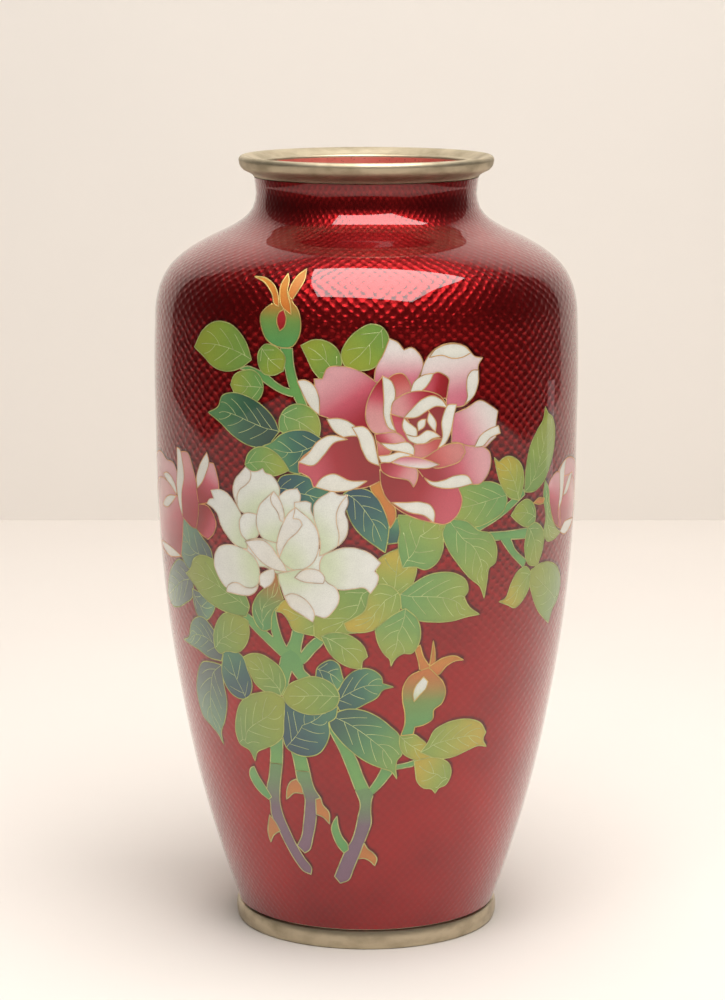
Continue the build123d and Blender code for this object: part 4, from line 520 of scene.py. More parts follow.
      (-34.2, 123.7), (-34, 121.1), (-34.8, 118.4), (-37.2, 116.8), (-40.2, 116.4), (-44, 116.2),
      (-47, 115.8), (-49.4, 117.6), (-51, 119.8), (-52, 122.2)]),
    ("white_rose_petals", "cream", (-25.5, 125.5),
     [(-47, 115.8), (-45.3, 117.4), (-42.3, 117.9), (-39.5, 116.9), (-36.9, 117), (-34.6, 118.1),
      (-35.7, 116.1), (-38.1, 114.6), (-41, 114.3), (-44, 114.4), (-47.2, 114.6)]),
    ("white_rose_petals", "white", (-25.5, 125.5),
     [(-27.6, 122.3), (-24.1, 123.2), (-20.8, 124), (-17.3, 123.9), (-13.8, 122.6), (-11.8, 120.3),
      (-9.5, 119), (-8.4, 116.7), (-8.8, 113.9), (-10.4, 111.6), (-12.7, 109.6), (-16.1, 110.2),
      (-16.7, 108), (-20.6, 110.3), (-23.8, 112.2), (-25.6, 114.9), (-26.8, 118.2), (-27.6, 120.6)]),
    ("white_rose_petals", "cream", (-25.5, 125.5),
     [(-25.8, 115.4), (-23.5, 116.4), (-20.3, 115.7), (-17.6, 113.5), (-16.2, 110.7), (-16.7, 108),
      (-20.6, 110.3), (-23.8, 112.2)]),
    ("white_rose_petals", "cream", (-25.5, 125.5),
     [(-22.2, 121.4), (-20.1, 123.5), (-17, 124.4), (-14.1, 123.7), (-12.7, 121.6), (-13.2, 120.1),
      (-16.5, 120.1), (-19.7, 120.4)]),
    ("white_rose_petals", "cream", (-25.5, 125.5),
     [(-34, 121.1), (-32.1, 122.6), (-28.9, 123.8), (-28.8, 121.6), (-30, 119), (-32.5, 117.3),
      (-34.1, 118.3)]),
    ("white_rose_petals", "cream", (-25.5, 125.5),
     [(-38.8, 131.1), (-35.3, 131.9), (-32, 131.9), (-29.7, 130.4), (-27.8, 127.9), (-25.8, 125.5),
      (-24.6, 123), (-28.8, 123.4), (-32.1, 124.7), (-34.7, 126.6), (-36.5, 128.4)]),
    ("pink_rose_petals", "pink", (-11, 183, 0, 167),
     [(-15.5, 181.3), (-13, 181.4), (-11.5, 184.6), (-7.5, 185.2), (-2, 183.8), (3.3, 180.3), (2.5, 172),
      (1, 166.5), (-4.5, 168), (-10, 169.5), (-14.2, 170.8)]),
    ("pink_rose_folds", "fold", None,
     [(-20.7, 180.6), (-18.3, 180.9), (-15.7, 179.5), (-14.2, 176.5), (-13.9, 170.7), (-16.2, 172.5),
      (-18.5, 176)]),
    ("pink_rose_folds", "fold", None,
     [(-11.8, 169.6), (-8, 169.8), (-5, 168.8), (-2, 165.5), (-2, 163.3), (-6, 164), (-9.5, 166)]),
    ("pink_rose_petals", "deep", (1, 158, -18, 152),
     [(-20.4, 155.8), (-14, 161.5), (-8, 164), (-2, 164.5), (4, 156.5), (6, 152.5), (1.5, 150),
      (-15.9, 149.2), (-16.8, 151.6), (-20.4, 153.5)]),
    ("pink_rose_folds", "fold", None,
     [(-20.5, 156.4), (-17.5, 159), (-14.5, 162.8), (-11, 164.7), (-5.5, 163.7), (-9.5, 162.6),
      (-12.5, 159), (-16, 155.6)]),
    ("pink_rose_folds", "fold", None,
     [(-15.3, 149.2), (-13.5, 151.8), (-10, 153.3), (-5, 151.4), (0.2, 151.3), (-3.5, 149), (-9, 148)]),
    ("pink_rose_petals", "blush", (9, 191, 9, 180),
     [(2.2, 181), (2.6, 184.3), (5, 189), (6.7, 193.3), (9, 192.3), (11, 189.9), (13, 190.6),
      (15.5, 188.7), (16.7, 185.8), (15.5, 182.3), (13, 179), (6, 179)]),
    ("pink_rose_petals", "coral", (9, 183, 10, 176),
     [(6, 181.5), (8.3, 182.9), (10.3, 183.1), (12.5, 180.7), (13.3, 178), (8, 174.5), (6.5, 178)]),
    ("pink_rose_petals", "blush", (25, 189, 27, 174),
     [(15.8, 181.8), (16.8, 185.3), (19.3, 189), (24.5, 191.4), (30.2, 190.2), (33.6, 187), (36, 186.6),
      (34.6, 184.7), (34.5, 180), (33, 175.8), (29.5, 172.8), (24, 172.8), (23.5, 176), (19, 178.5)]),
    ("pink_rose_folds", "fold", None,
     [(18.6, 187.5), (20.3, 189.6), (24.8, 191.2), (30, 190.2), (32, 188.3), (29, 187.1), (25.7, 187),
      (22.5, 188)]),
    ("pink_rose_folds", "fold", None,
     [(34.5, 183), (32.3, 183), (30.9, 181.5), (30.5, 178), (30.7, 175), (29.8, 173.1), (32.5, 175),
      (34.3, 178.8)]),
    ("pink_rose_petals", "deep", (24, 178, 18, 179),
     [(18.5, 181.2), (21, 183.1), (23.2, 182.3), (24.7, 180.9), (24.4, 178.5), (24, 175.3), (20, 175.5),
      (16.5, 177)]),
    ("pink_rose_folds", "fold", None,
     [(12.9, 177.8), (14, 180.5), (16.8, 182.4), (19.9, 182.8), (18.8, 180.5), (16.8, 178.2),
      (15, 177.2)]),
    ("pink_rose_petals", "blush", (40, 170, 28, 163),
     [(26, 170.5), (30.5, 172), (35, 174), (38.8, 172.2), (41.6, 170.3), (41, 166.5), (41, 162.5),
      (34.5, 158.5), (25.5, 159.5)]),
    ("pink_rose_petals", "pink", (38, 157, 19, 152),
     [(26.5, 162), (31.5, 160.6), (36.4, 160), (38.8, 158), (39.3, 155), (38.3, 151.7), (35.5, 149),
      (32, 149), (17, 149.8), (14.5, 153.5), (20, 158.5)]),
    ("pink_rose_folds", "fold", None,
     [(33.3, 160.1), (35.5, 163.5), (38.5, 165.1), (41.9, 165.9), (42.7, 163.5), (39, 162.4),
      (36.3, 160.2)]),
    ("pink_rose_petals", "coral", (18, 156, 28, 160),
     [(16.5, 158.3), (21, 160.3), (26, 161.7), (29.2, 161.2), (30.3, 158.8), (28.5, 156.3), (25, 155.1),
      (20, 154.8)]),
    ("pink_rose_petals", "deep", (5, 152, 27, 142),
     [(3.9, 154.7), (4.3, 150), (6, 146), (7.5, 144.3), (20.4, 138.2), (24, 137.6), (28, 140.3),
      (29.4, 144.5), (28, 148.5), (22, 149.7), (17.3, 151.8), (15, 154.5), (9, 156.5)]),
    ("pink_rose_folds", "fold", None,
     [(17.2, 151.9), (19.8, 150.6), (23, 150.8), (27, 152), (31.3, 151.5), (32.9, 149.2), (27.5, 148.3),
      (22, 148.7), (19, 149.9)]),
    ("pink_rose_folds", "fold", None,
     [(7.4, 144.8), (12, 144.7), (16.5, 144.6), (19.3, 143.5), (20.6, 141), (20.3, 138.2), (17.5, 140.4),
      (12.5, 141.8)]),
    ("pink_rose_petals", "rose", (5, 181, 3, 170),
     [(4.8, 182.5), (1.7, 178.3), (-0.1, 173.5), (0.1, 168.5), (2.3, 165.6), (4.8, 165.4), (8.3, 165.7),
      (7, 173), (6.3, 180)]),
    ("pink_rose_folds", "fold", None,
     [(4.6, 182.4), (7, 181.1), (8.3, 178.3), (8.2, 175), (7, 171), (7.6, 168.2), (9, 165.8), (6.5, 167),
      (5.2, 170), (5, 176)]),
    ("pink_rose_petals", "rose", (20, 176, 9, 172),
     [(7.8, 174.8), (10.5, 176.7), (14, 177.7), (18.5, 177.5), (22, 176), (24.4, 172.8), (22, 170),
      (14, 168.5), (7, 170.8)]),
    ("pink_rose_petals", "deep", (22, 170, 8, 165),
     [(7, 171.2), (13, 169.7), (20, 173), (24.5, 173), (23.5, 166), (22.5, 162.5), (19.5, 159.5),
      (14.5, 159), (12, 162), (8.5, 166.3)]),
    ("pink_rose_folds", "fold", None,
     [(10.9, 170), (13.3, 172.5), (16.3, 175.2), (19.5, 176.2), (22.3, 175), (24.3, 172.5), (20.5, 173),
      (17.5, 171.5), (14.8, 170)]),
    ("pink_rose_petals", "core", None,
     [(11.8, 169.8), (14.7, 170), (18.2, 172), (20.3, 169), (20.5, 165.3), (15, 164.5), (13.5, 167)]),
    ("pink_rose_folds", "fold", None,
     [(11, 170), (10.5, 167.5), (11.5, 165.3), (14.9, 163.8), (14.8, 166.5), (13.3, 167.8), (11.8, 169)]),
    ("pink_rose_folds", "fold", None,
     [(18.6, 171.4), (19.6, 170.3), (20.7, 168.5), (20.6, 165.5), (19.2, 166.8), (18, 169)]),
    ("pink_rose_folds", "fold", None,
     [(15.1, 168.4), (16.1, 169.2), (17.6, 169.4), (17.2, 167.2), (15.3, 165.9)]),
    ("pink_rose_folds", "fold", None,
     [(11.4, 165.1), (14.8, 164.3), (18.3, 166), (20.3, 165.3), (22.2, 163.9), (19.5, 163.4),
      (17.5, 162.2), (14.8, 162.1), (12.5, 163.3)]),
    ("pink_rose_petals", "coral", (21, 163, 15, 159),
     [(14.1, 162), (18.2, 162.3), (20.5, 163.3), (22.6, 163.3), (22.2, 161), (20, 159.5), (17, 157.9),
      (13.5, 158)]),
    ("pink_rose_folds", "fold", None,
     [(24.4, 173.2), (27.2, 173.3), (26.3, 169.5), (25.3, 165), (23.8, 162), (21.3, 160.3), (22.7, 163.5),
      (22.5, 168.5), (23.3, 171.3)]),
    ("pink_rose_petals", "rose", (4, 162, 8, 165),
     [(2.4, 165.2), (5, 165.5), (8.7, 165.6), (10.9, 164), (12, 162.3), (9, 161.8), (3.8, 157.5),
      (3, 162)]),
    ("pink_rose_folds", "fold", None,
     [(-4.3, 167.3), (-0.5, 167.3), (1.6, 165), (2.8, 160.5), (3.8, 155.8), (0.7, 157.2), (-1.3, 160.5),
      (-2.4, 164)]),
    ("pink_rose_petals", "coral", None, [(2.9, 163.3), (5.5, 161.4), (7.5, 160), (5, 158), (3.4, 158.5)]),
    ("pink_rose_folds", "fold", None,
     [(4, 162.6), (8, 162.3), (12.5, 162.5), (14.1, 160.8), (14, 158.8), (10, 159.9), (6.5, 160.7)]),
    ("pink_rose_petals", "rose", (5, 156, 13, 151),
     [(3.9, 156.5), (4.3, 154.5), (6.5, 152.8), (10.5, 151.8), (12.4, 151.3), (14, 149.2), (15.1, 151.5),
      (15.1, 154.2), (12.7, 156), (8.5, 157.2)]),
    ("pink_rose_folds", "fold", None,
     [(3.4, 158.7), (6.4, 159), (9.5, 159.8), (13.7, 158.8), (10.5, 158), (7, 156.8), (4.3, 156.8)]),
    ("pink_rose_petals", "blush", None,
     [(7.2, 156.8), (10.5, 158.3), (13.8, 158.3), (18, 157.2), (22, 155.6), (18.5, 154.7), (14.5, 154.9),
      (10.5, 155.7)]),
]


def linear(colour):
    """sRGB values as the linear RGBA that the shaders take."""
    return tuple(c / 12.92 if c <= 0.04045 else ((c + 0.055) / 1.055) ** 2.4 for c in colour) + (1.0,)


# ---------------------------------------------------------------- the wall's surface

PROFILE_Z = PROFILE[:, 0]
PROFILE_R = PROFILE[:, 1]
PROFILE_SLOPE = np.gradient(PROFILE_R, PROFILE_Z)


def hermite(start, end, start_tangent, end_tangent, t):
    """The cubic from start to end with those tangents, at t from 0 to 1."""
    return ((2 * t**3 - 3 * t**2 + 1) * start + (t**3 - 2 * t**2 + t) * start_tangent
            + (3 * t**2 - 2 * t**3) * end + (t**3 - t**2) * end_tangent)


def wall_radius(z):
    """Radius and slope dr/dz of the wall at heights z, as a cubic through the profile's points."""
    z = np.clip(z, PROFILE_Z[0], PROFILE_Z[-1])
    i = np.clip(np.searchsorted(PROFILE_Z, z) - 1, 0, len(PROFILE_Z) - 2)
    span = PROFILE_Z[i + 1] - PROFILE_Z[i]
    t = (z - PROFILE_Z[i]) / span
    r0, r1 = PROFILE_R[i], PROFILE_R[i + 1]
    m0, m1 = PROFILE_SLOPE[i] * span, PROFILE_SLOPE[i + 1] * span
    radius = hermite(r0, r1, m0, m1, t)
    slope = ((6 * t**2 - 6 * t) * (r0 - r1) + (3 * t**2 - 4 * t + 1) * m0 + (3 * t**2 - 2 * t) * m1) / span
    return radius, slope


def unit(vectors):
    """The rows of vectors, each scaled to length 1."""
    return vectors / np.maximum(np.linalg.norm(vectors, axis=1), 1e-12)[:, None]


def on_wall(design, lift=0.0):
    """Points and outward normals, in metres, of design points (N, 2) raised by lift from the wall."""
    angle = design[:, 0] / DESIGN_RADIUS
    radius, slope = wall_radius(design[:, 1])
    normals = unit(np.stack([np.sin(angle), -np.cos(angle), -slope], axis=1))
    points = np.stack([radius * np.sin(angle), -radius * np.cos(angle), design[:, 1]], axis=1)
    return (points + normals * np.reshape(lift, (-1, 1))) * MM, normals


# ---------------------------------------------------------------- outlines

def turns(points):
    """How far a closed outline turns at each point, in degrees."""
    before = points - np.roll(points, 1, axis=0)
    after = np.roll(points, -1, axis=0) - points
    cross = before[:, 0] * after[:, 1] - before[:, 1] * after[:, 0]
    return np.degrees(np.arctan2(cross, (before * after).sum(axis=1)))


def smooth_outline(points):
    """The closed outline sampled every OUTLINE_STEP or so, smooth between its corners."""
    points = np.array(points, float)
    corner = np.abs(turns(points)) > CORNER_ANGLE
    count = len(points)
    samples = []
    for i in range(count):
        p0, p1, p2, p3 = (points[(i + k) % count] for k in (-1, 0, 1, 2))
        chord = p2 - p1
        length = np.linalg.norm(chord)
        start = chord if corner[i] else tangent(p0, p1, p2) * length
        end = chord if corner[(i + 1) % count] else tangent(p1, p2, p3) * length
        steps = max(2, round(length / OUTLINE_STEP))
        for t in np.arange(steps) / steps:
            samples.append(hermite(p1, p2, start, end, t))
    return np.array(samples)


def tangent(before, here, after):
    """Direction of a smooth curve at here, weighted towards the nearer neighbour."""
    a = np.linalg.norm(here - before)
    b = np.linalg.norm(after - here)
    return ((here - before) / a * b + (after - here) / b * a) / (a + b)


def run_along(path):
    """Length along the path from its start to each of its points."""
    return np.concatenate([[0], np.cumsum(np.hypot(*np.diff(path, axis=0).T))])


def resample(at, run, path):
    """The path's points where its run reaches the values in at."""
    return np.stack([np.interp(at, run, path[:, k]) for k in (0, 1)], axis=1)


def inside(points, outline):
    """Which of the points lie inside the closed outline."""
    x, y = points[:, 0, None], points[:, 1, None]
    x0, y0 = outline[:, 0], outline[:, 1]
    x1, y1 = np.roll(x0, -1), np.roll(y0, -1)
    straddles = (y0 > y) != (y1 > y)
    reach = x0 + (y - y0) * (x1 - x0) / np.where(y1 == y0, 1e-12, y1 - y0)
    return (straddles & (x < reach)).sum(axis=1) % 2 == 1


def boxes_meet(a, b):
    """Whether the boxes around two sets of points overlap."""
    return bool((a.min(axis=0) < b.max(axis=0)).all() and (b.min(axis=0) < a.max(axis=0)).all())


def hidden_points(points, covers):
    """Which of the points lie under any of the outlines in covers."""
    hidden = np.zeros(len(points), bool)
    for cover in covers:
        if boxes_meet(points, cover):
            hidden |= inside(points, cover)
    return hidden


def visible_runs(path, covers, closed):
    """The stretches of a path that none of the covers hides, each as an array of points."""
    hidden = hidden_points(path, covers)
    order = np.arange(len(path))
    if closed and hidden.any():
        order = np.roll(order, -int(np.argmax(hidden)))
    elif closed:
        order = np.append(order, [0, 1])
    runs = [[]]
    for i in order:
        if hidden[i]:
            runs.append([])
        else:
            runs[-1].append(path[i])
    return [np.array(run) for run in runs if len(run) > 2]


# ---------------------------------------------------------------- the decorated wall as cells

def grid_points(outlines):
    """Points that fill the wall: a coarse grid everywhere, a finer one in the cells, and rings along
    the outlines, where the painted shade and painted shadows change fastest."""
    rows = wall_rows(GROUND_GRID)
    columns = np.linspace(-BACK_ARC, BACK_ARC, round(2 * BACK_ARC / GROUND_GRID) + 1)
    coarse = np.array([(x, z) for z in rows for x in columns])
    fine = []
    for outline in outlines:
        low, high = outline.min(axis=0), outline.max(axis=0)
        xs = np.arange(math.ceil(low[0] / CELL_GRID), high[0] / CELL_GRID) * CELL_GRID
        zs = np.arange(math.ceil(low[1] / CELL_GRID), high[1] / CELL_GRID) * CELL_GRID
        patch = np.array([(x, z) for z in zs for x in xs]).reshape(-1, 2)
        fine.append(patch[inside(patch, outline)])
    fine = np.unique(np.round(np.vstack(fine), 4), axis=0)
    sides = [(outline, side) for outline in outlines for side in (-1, 1)]
    rings = [outline_ring(outline, side * SHADE_WIDTH) for outline, side in sides]
    for outline, side in sides:
        ring = outline_ring(outline, side * SHADOW_WIDTH)
        rings.append(ring[~inside(ring, outline)])
    return np.vstack([coarse, fine, *rings])


def wall_run():
    """Heights up the wall and the length of its profile from the foot to each."""
    z = np.linspace(WALL_BOTTOM, WALL_TOP, 2000)
    radius, _ = wall_radius(z)
    return z, run_along(np.stack([z, radius], axis=1))


def wall_rows(spacing):
    """Heights that follow each other at equal distances along the wall's profile."""
    z, run = wall_run()
    return np.interp(np.linspace(0, run[-1], round(run[-1] / spacing) + 1), run, z)


def outline_ring(outline, offset):
    """Every second point of the outline moved out by offset, or in where it is negative."""
    before = np.roll(outline, 1, axis=0)
    after = np.roll(outline, -1, axis=0)
    along = unit(after - before)
    area = (before[:, 0] * outline[:, 1] - before[:, 1] * outline[:, 0]).sum()
    side = np.stack([along[:, 1], -along[:, 0]], axis=1) * math.copysign(offset, area)
    return (outline + side)[::2]


def partition(outlines):
    """Triangles over the whole wall: design points, triangles and the front cell of each (-1: ground)."""
    points = [tuple(p) for p in grid_points(outlines)]
    faces = []
    for outline in outlines:
        area = (outline[:, 0] * (np.roll(outline[:, 1], -1) - np.roll(outline[:, 1], 1))).sum()
        ordered = outline if area > 0 else outline[::-1]
        faces.append(list(range(len(points), len(points) + len(ordered))))
        points += [tuple(p) for p in ordered]
    result = delaunay_2d_cdt([Vector(p) for p in points], [], faces, 0, 1e-4, True)
    verts, triangles, owners = result[0], result[2], result[5]
    front = np.array([max(owner, default=-1) for owner in owners])
    return np.array([tuple(v) for v in verts]), np.array(triangles), front


def compact(triangles):
    """The used vertex numbers and the triangles renumbered to them."""
    used, renumbered = np.unique(triangles, return_inverse=True)
    return used, renumbered.reshape(-1, 3)


def ramp_colour(ramp, t):
    """Linear colours along the ramp at t (N,), smoothed between its stops."""
    stops = np.array([linear(c) for c in RAMPS[ramp]])
    t = np.clip(t, 0, 1)
    t = t * t * (3 - 2 * t)
    position = t * (len(stops) - 1)
    return np.stack([np.interp(position, np.arange(len(stops)), stops[:, k]) for k in range(4)], axis=1)


def shade_position(points, line, outline):
    """How far each point lies along the cell's shade line, or out from its shade centre, from 0 to 1."""
    if line is None:
        line = (0, outline[:, 1].min(), 0, outline[:, 1].max())
    if len(line) == 2:
        reach = np.linalg.norm(outline - np.array(line), axis=1)
        away = np.linalg.norm(points - np.array(line), axis=1)
        return (away - reach.min()) / (reach.max() - reach.min())
    start = np.array(line[:2])
    along = np.array(line[2:]) - start
    return (points - start) @ along / (along @ along)


def link_mesh(name, mesh):
    """A new object in the scene that shows the mesh."""
    piece = bpy.data.objects.new(name, mesh)
    bpy.context.scene.collection.objects.link(piece)
    return piece


def shell_faces(triangles, count):
    """The far side and the edge walls of a slab whose near side is a sheet of count points."""
    edges = np.vstack([triangles[:, [0, 1]], triangles[:, [1, 2]], triangles[:, [2, 0]]])
    forward = {(int(a), int(b)) for a, b in edges}
    rims = [(a, b) for a, b in sorted(forward) if (b, a) not in forward]
    far = triangles[:, ::-1] + count
    walls = [(b, a, a + count, b + count) for a, b in rims]
    return [tuple(map(int, t)) for t in far], walls


def enamel_piece(name, design, triangles, attributes):
    """A slab of enamel from the foil up to the polished surface, with named values at its points."""
    run = np.interp(design[:, 1], *wall_run())
    texture = np.stack([design[:, 0], run], axis=1)
    design, triangles, corner_texture, kept = close_seam(design, triangles, texture)
    near, normals = on_wall(design)
    deep, _ = on_wall(design, -ENAMEL_DEPTH)
    count = len(near)
    far, walls = shell_faces(triangles, count)
    mesh = bpy.data.meshes.new(name)
    faces = [tuple(map(int, t)) for t in triangles] + far + walls
    mesh.from_pydata([tuple(p) for p in np.vstack([near, deep])], [], faces)
    mesh.polygons.foreach_set("use_smooth", [True] * len(faces))
    loop_normals = np.vstack([
        normals[triangles.ravel()],
        -normals[triangles[:, ::-1].ravel()],
        np.repeat(wall_normals(np.vstack([near, deep]), walls), 4, axis=0),
    ])
    mesh.normals_split_custom_set([tuple(n) for n in loop_normals])
    piece = link_mesh(name, mesh)
    for attribute, values in attributes.items():
        values = np.asarray(values, np.float32)[kept]
        fill_attribute(piece, attribute, np.concatenate([values, values]))
    far_texture = corner_texture.reshape(-1, 3, 2)[:, ::-1].reshape(-1, 2)
    fill_texture(piece, np.vstack([corner_texture, far_texture, np.zeros((4 * len(walls), 2))]))
    return piece


def close_seam(design, triangles, texture):
    """The sheet with its two edges at the back of the vase joined, and the texture place per corner."""
    corner_texture = texture[triangles.ravel()]
    target = np.arange(len(design))
    left = {round(z, 3): i for i, (x, z) in enumerate(design) if x < -BACK_ARC + 1e-3}
    for i, (x, z) in enumerate(design):
        if x > BACK_ARC - 1e-3:
            target[i] = left.get(round(z, 3), i)
    kept, triangles = compact(target[triangles])
    return design[kept], triangles, corner_texture, kept


def wall_normals(points, walls):
    """Flat normals of the four-sided walls."""
    if not walls:
        return np.zeros((0, 3))
    corners = points[np.array(walls)]
    return unit(np.cross(corners[:, 1] - corners[:, 0], corners[:, 3] - corners[:, 0]))


def fill_attribute(piece, name, values):
    """Colours (N, 4) or single values (N,) at the vertices, for the materials to read."""
    data_type, field = ("FLOAT_COLOR", "color") if values.ndim == 2 else ("FLOAT", "value")
    layer = piece.data.attributes.new(name, data_type, "POINT")
    layer.data.foreach_set(field, values.ravel())


def fill_texture(piece, places):
    """A UV map with each corner's place in millimetres: around the vase and along its profile."""
    layer = piece.data.uv_layers.new(name="wall_mm")
    layer.data.foreach_set("uv", np.asarray(places, np.float32).ravel())


# ---------------------------------------------------------------- wires

def wire_solid(path, width, rise):
    """Vertices and faces of one rounded wire along a path, standing in the enamel down to the foil."""
    along = unit(np.gradient(path, axis=0))
    radius, _ = wall_radius(path[:, 1])
    across = np.stack([-along[:, 1] * DESIGN_RADIUS / radius, along[:, 0]], axis=1)
    section = [(-0.5, -ENAMEL_DEPTH), (-0.5, -0.3 * rise), (-0.36, 0.7 * rise), (0, rise),
               (0.36, 0.7 * rise), (0.5, -0.3 * rise), (0.5, -ENAMEL_DEPTH)]
    rings = [on_wall(path + across * side * width, lift)[0] for side, lift in section]
    points = np.stack(rings, axis=1).reshape(-1, 3)
    sides = len(section)
    last = (len(path) - 1) * sides
    faces = [tuple(range(sides)), tuple(last + k for k in reversed(range(sides)))]
    for i in range(len(path) - 1):
        for k in range(sides):
            a = i * sides + k
            b = i * sides + (k + 1) % sides
            faces.append((a, a + sides, b + sides, b))
    return points, faces


def wire_piece(name, paths, width, rise):
    """One object with a wire along each of the paths."""
    points = []
    faces = []
    start = 0
    for path in paths:
        wire_points, wire_faces = wire_solid(path, width, rise)
        points.append(wire_points)
        faces += [tuple(start + k for k in face) for face in wire_faces]
        start += len(wire_points)
    mesh = bpy.data.meshes.new(name)
    mesh.from_pydata([tuple(p) for p in np.vstack(points)], [], faces)
    mesh.polygons.foreach_set("use_smooth", [True] * len(faces))
    mesh.update()
    return link_mesh(name, mesh)


def leaf_axis(outline):
    """The leaf's two sides and its midrib from base to tip, each resampled to VEIN_SAMPLES points."""
    gaps = np.linalg.norm(outline[:, None] - outline[None], axis=2)
    first, second = np.unravel_index(np.argmax(gaps), gaps.shape)
    last = len(outline) - 1
    sides = []
    for ring, start, end in ((outline, first, second), (outline[::-1], last - first, last - second)):
        side = np.roll(ring, -start, axis=0)[:(end - start) % len(ring) + 1]
        run = run_along(side)
        sides.append(resample(np.linspace(0, run[-1], VEIN_SAMPLES), run, side))
    if sharpness(outline, first) > sharpness(outline, second):
        sides = [side[::-1] for side in sides]
    return sides[0], sides[1], (sides[0] + sides[1]) / 2


def sharpness(outline, index):
    """How much the outline bends at a sample, seen over a few samples: most at a pointed tip."""
    arm = 3
    return np.linalg.norm(outline[index - arm] + outline[(index + arm) % len(outline)] - 2 * outline[index])


def leaf_veins(outline):
    """Paths of a leaf's midrib and of its curved side veins."""
    left, right, midrib = leaf_axis(outline)
    length = run_along(midrib)[-1]
    if length < SMALLEST_VEINED_LEAF:
        return []
    paths = [midrib[:int(MIDRIB_PART * VEIN_SAMPLES)]]
    samples = np.arange(VEIN_SAMPLES)
    t = np.linspace(0, 1, 9)
    pairs = min(4, max(2, round(length / VEIN_SPACING)))
    for pair in range(pairs):
        for side, delay in ((left, 0.0), (right, RIGHT_VEIN_DELAY)):
            start = FIRST_VEIN + delay + VEINED_PART * pair / pairs
            at = (start + VEIN_REACH * t**1.3) * (VEIN_SAMPLES - 1)
            inner = resample(at, samples, midrib)
            outer = resample(at, samples, side)
            paths.append(inner + (outer - inner) * (VEIN_SPREAD * t)[:, None])
    return paths


# ---------------------------------------------------------------- turned parts

def arc(start, middle, end, steps):
    """Points (radius, height) on the arc through three points, without its end."""
    (ax, ay), (bx, by), (cx, cy) = start, middle, end
    d = 2 * (ax * (by - cy) + bx * (cy - ay) + cx * (ay - by))
    a2, b2, c2 = ax * ax + ay * ay, bx * bx + by * by, cx * cx + cy * cy
    ux = (a2 * (by - cy) + b2 * (cy - ay) + c2 * (ay - by)) / d
    uy = (a2 * (cx - bx) + b2 * (ax - cx) + c2 * (bx - ax)) / d
    radius = math.hypot(ax - ux, ay - uy)
    first = math.atan2(ay - uy, ax - ux)
    through = (math.atan2(by - uy, bx - ux) - first) % (2 * math.pi)
    sweep = (math.atan2(cy - uy, cx - ux) - first) % (2 * math.pi)
    if through > sweep:
        sweep -= 2 * math.pi
    angles = [first + sweep * i / steps for i in range(steps)]
    return [(ux + radius * math.cos(a), uy + radius * math.sin(a)) for a in angles]


def lathe(name, profile):
    """A closed turned piece from its profile in millimetres, radius and height, run anticlockwise."""
    angles = np.arange(LATHE_STEPS) * 2 * math.pi / LATHE_STEPS
    points = [(r * math.cos(a) * MM, r * math.sin(a) * MM, z * MM) for r, z in profile for a in angles]
    faces = []
    for i in range(len(profile)):
        here = i * LATHE_STEPS
        above = (i + 1) % len(profile) * LATHE_STEPS
        for k in range(LATHE_STEPS):
            right = (k + 1) % LATHE_STEPS
            faces.append((here + k, here + right, above + right, above + k))
    mesh = bpy.data.meshes.new(name)
    mesh.from_pydata(points, [], faces)
    mesh.polygons.foreach_set("use_smooth", [True] * len(faces))
    mesh.update()
    mesh.set_sharp_from_angle(angle=math.radians(SHARP_ANGLE))
    return link_mesh(name, mesh)


def foot_ring():
    """The metal ring that the vase stands on, with a narrow seam under the enamel."""
    seam = WALL_BOTTOM - SEAM
    toe = arc((40.4, 0), (40.9, 0.2), (41.1, 0.6), 6)
    side = arc((41.1, 0.6), (41.5, 3.0), (40.95, seam), 14)
    top = [(40.2, seam), (40.2, WALL_BOTTOM), (FOOT_INNER_RADIUS, WALL_BOTTOM)]
    return lathe("foot_ring_metal", toe + side + top + [(FOOT_INNER_RADIUS, 0.5), (38.9, 0)])


def mouth_ring():
    """The flared metal ring at the mouth: a rolled lip, a shallow dish and a bead at the opening."""
    seam = WALL_TOP + SEAM
    flare = [(34.2, WALL_TOP), (34.2, seam), (34.95, seam), (35.3, 236.6), (36.1, 237.1), (37.1, 237.6),
             (38.1, 238.1), (38.8, 238.8), (39.25, 239.6)]
    lip = arc((39.4, 240.5), (39.2, 241.9), (38.3, HEIGHT), 10)
    dish = [(38.3, HEIGHT), (37.5, 242.25), (36.4, 241.9), (35.4, 241.4), (34.4, 240.9), (33.8, 240.6)]
    bead = arc((33.2, 240.4), (32.6, 240.2), (32.4, 239.6), 6)
    return lathe("mouth_ring_metal", flare + lip + dish + bead + [(32.4, 239.6), (32.4, WALL_TOP)])


def lining():
    """The counter enamel: a thin skin with a floor, run up inside the neck to the mouth ring's bead."""
    heights = np.linspace(WALL_TOP, FLOOR_TOP + 4, 90)[1:]
    radii, _ = wall_radius(heights)
    skin = [(LINING_LIP_RADIUS, LINING_TOP), (LINING_LIP_RADIUS, WALL_TOP)]
    skin += [(r - INNER_WALL_INSET, z) for r, z in zip(radii, heights)]
    floor = [(skin[-1][0] - 2, FLOOR_TOP + 0.6), (skin[-1][0] - 5, FLOOR_TOP), (1, FLOOR_TOP)]
    back = [(1, FLOOR_TOP - LINING_THICKNESS)]
    back += [(r + LINING_THICKNESS, z - LINING_THICKNESS) for r, z in reversed(floor[:2])]
    outer = [(r + LINING_THICKNESS, z) for r, z in reversed(skin)]
    return lathe("counter_enamel_lining", skin + floor + back + outer)


def base_disc():
    """The enamel under the floor, inside the foot ring, with a meniscus at its edge."""
    edge = FOOT_INNER_RADIUS - 0.05
    face = [(1, BASE_RECESS), (30, BASE_RECESS), (edge - 1.5, BASE_RECESS - 0.15), (edge, BASE_RECESS + 0.1)]
    return lathe("base_enamel_disc", face + [(edge, WALL_BOTTOM), (1, WALL_BOTTOM)])


# ---------------------------------------------------------------- materials

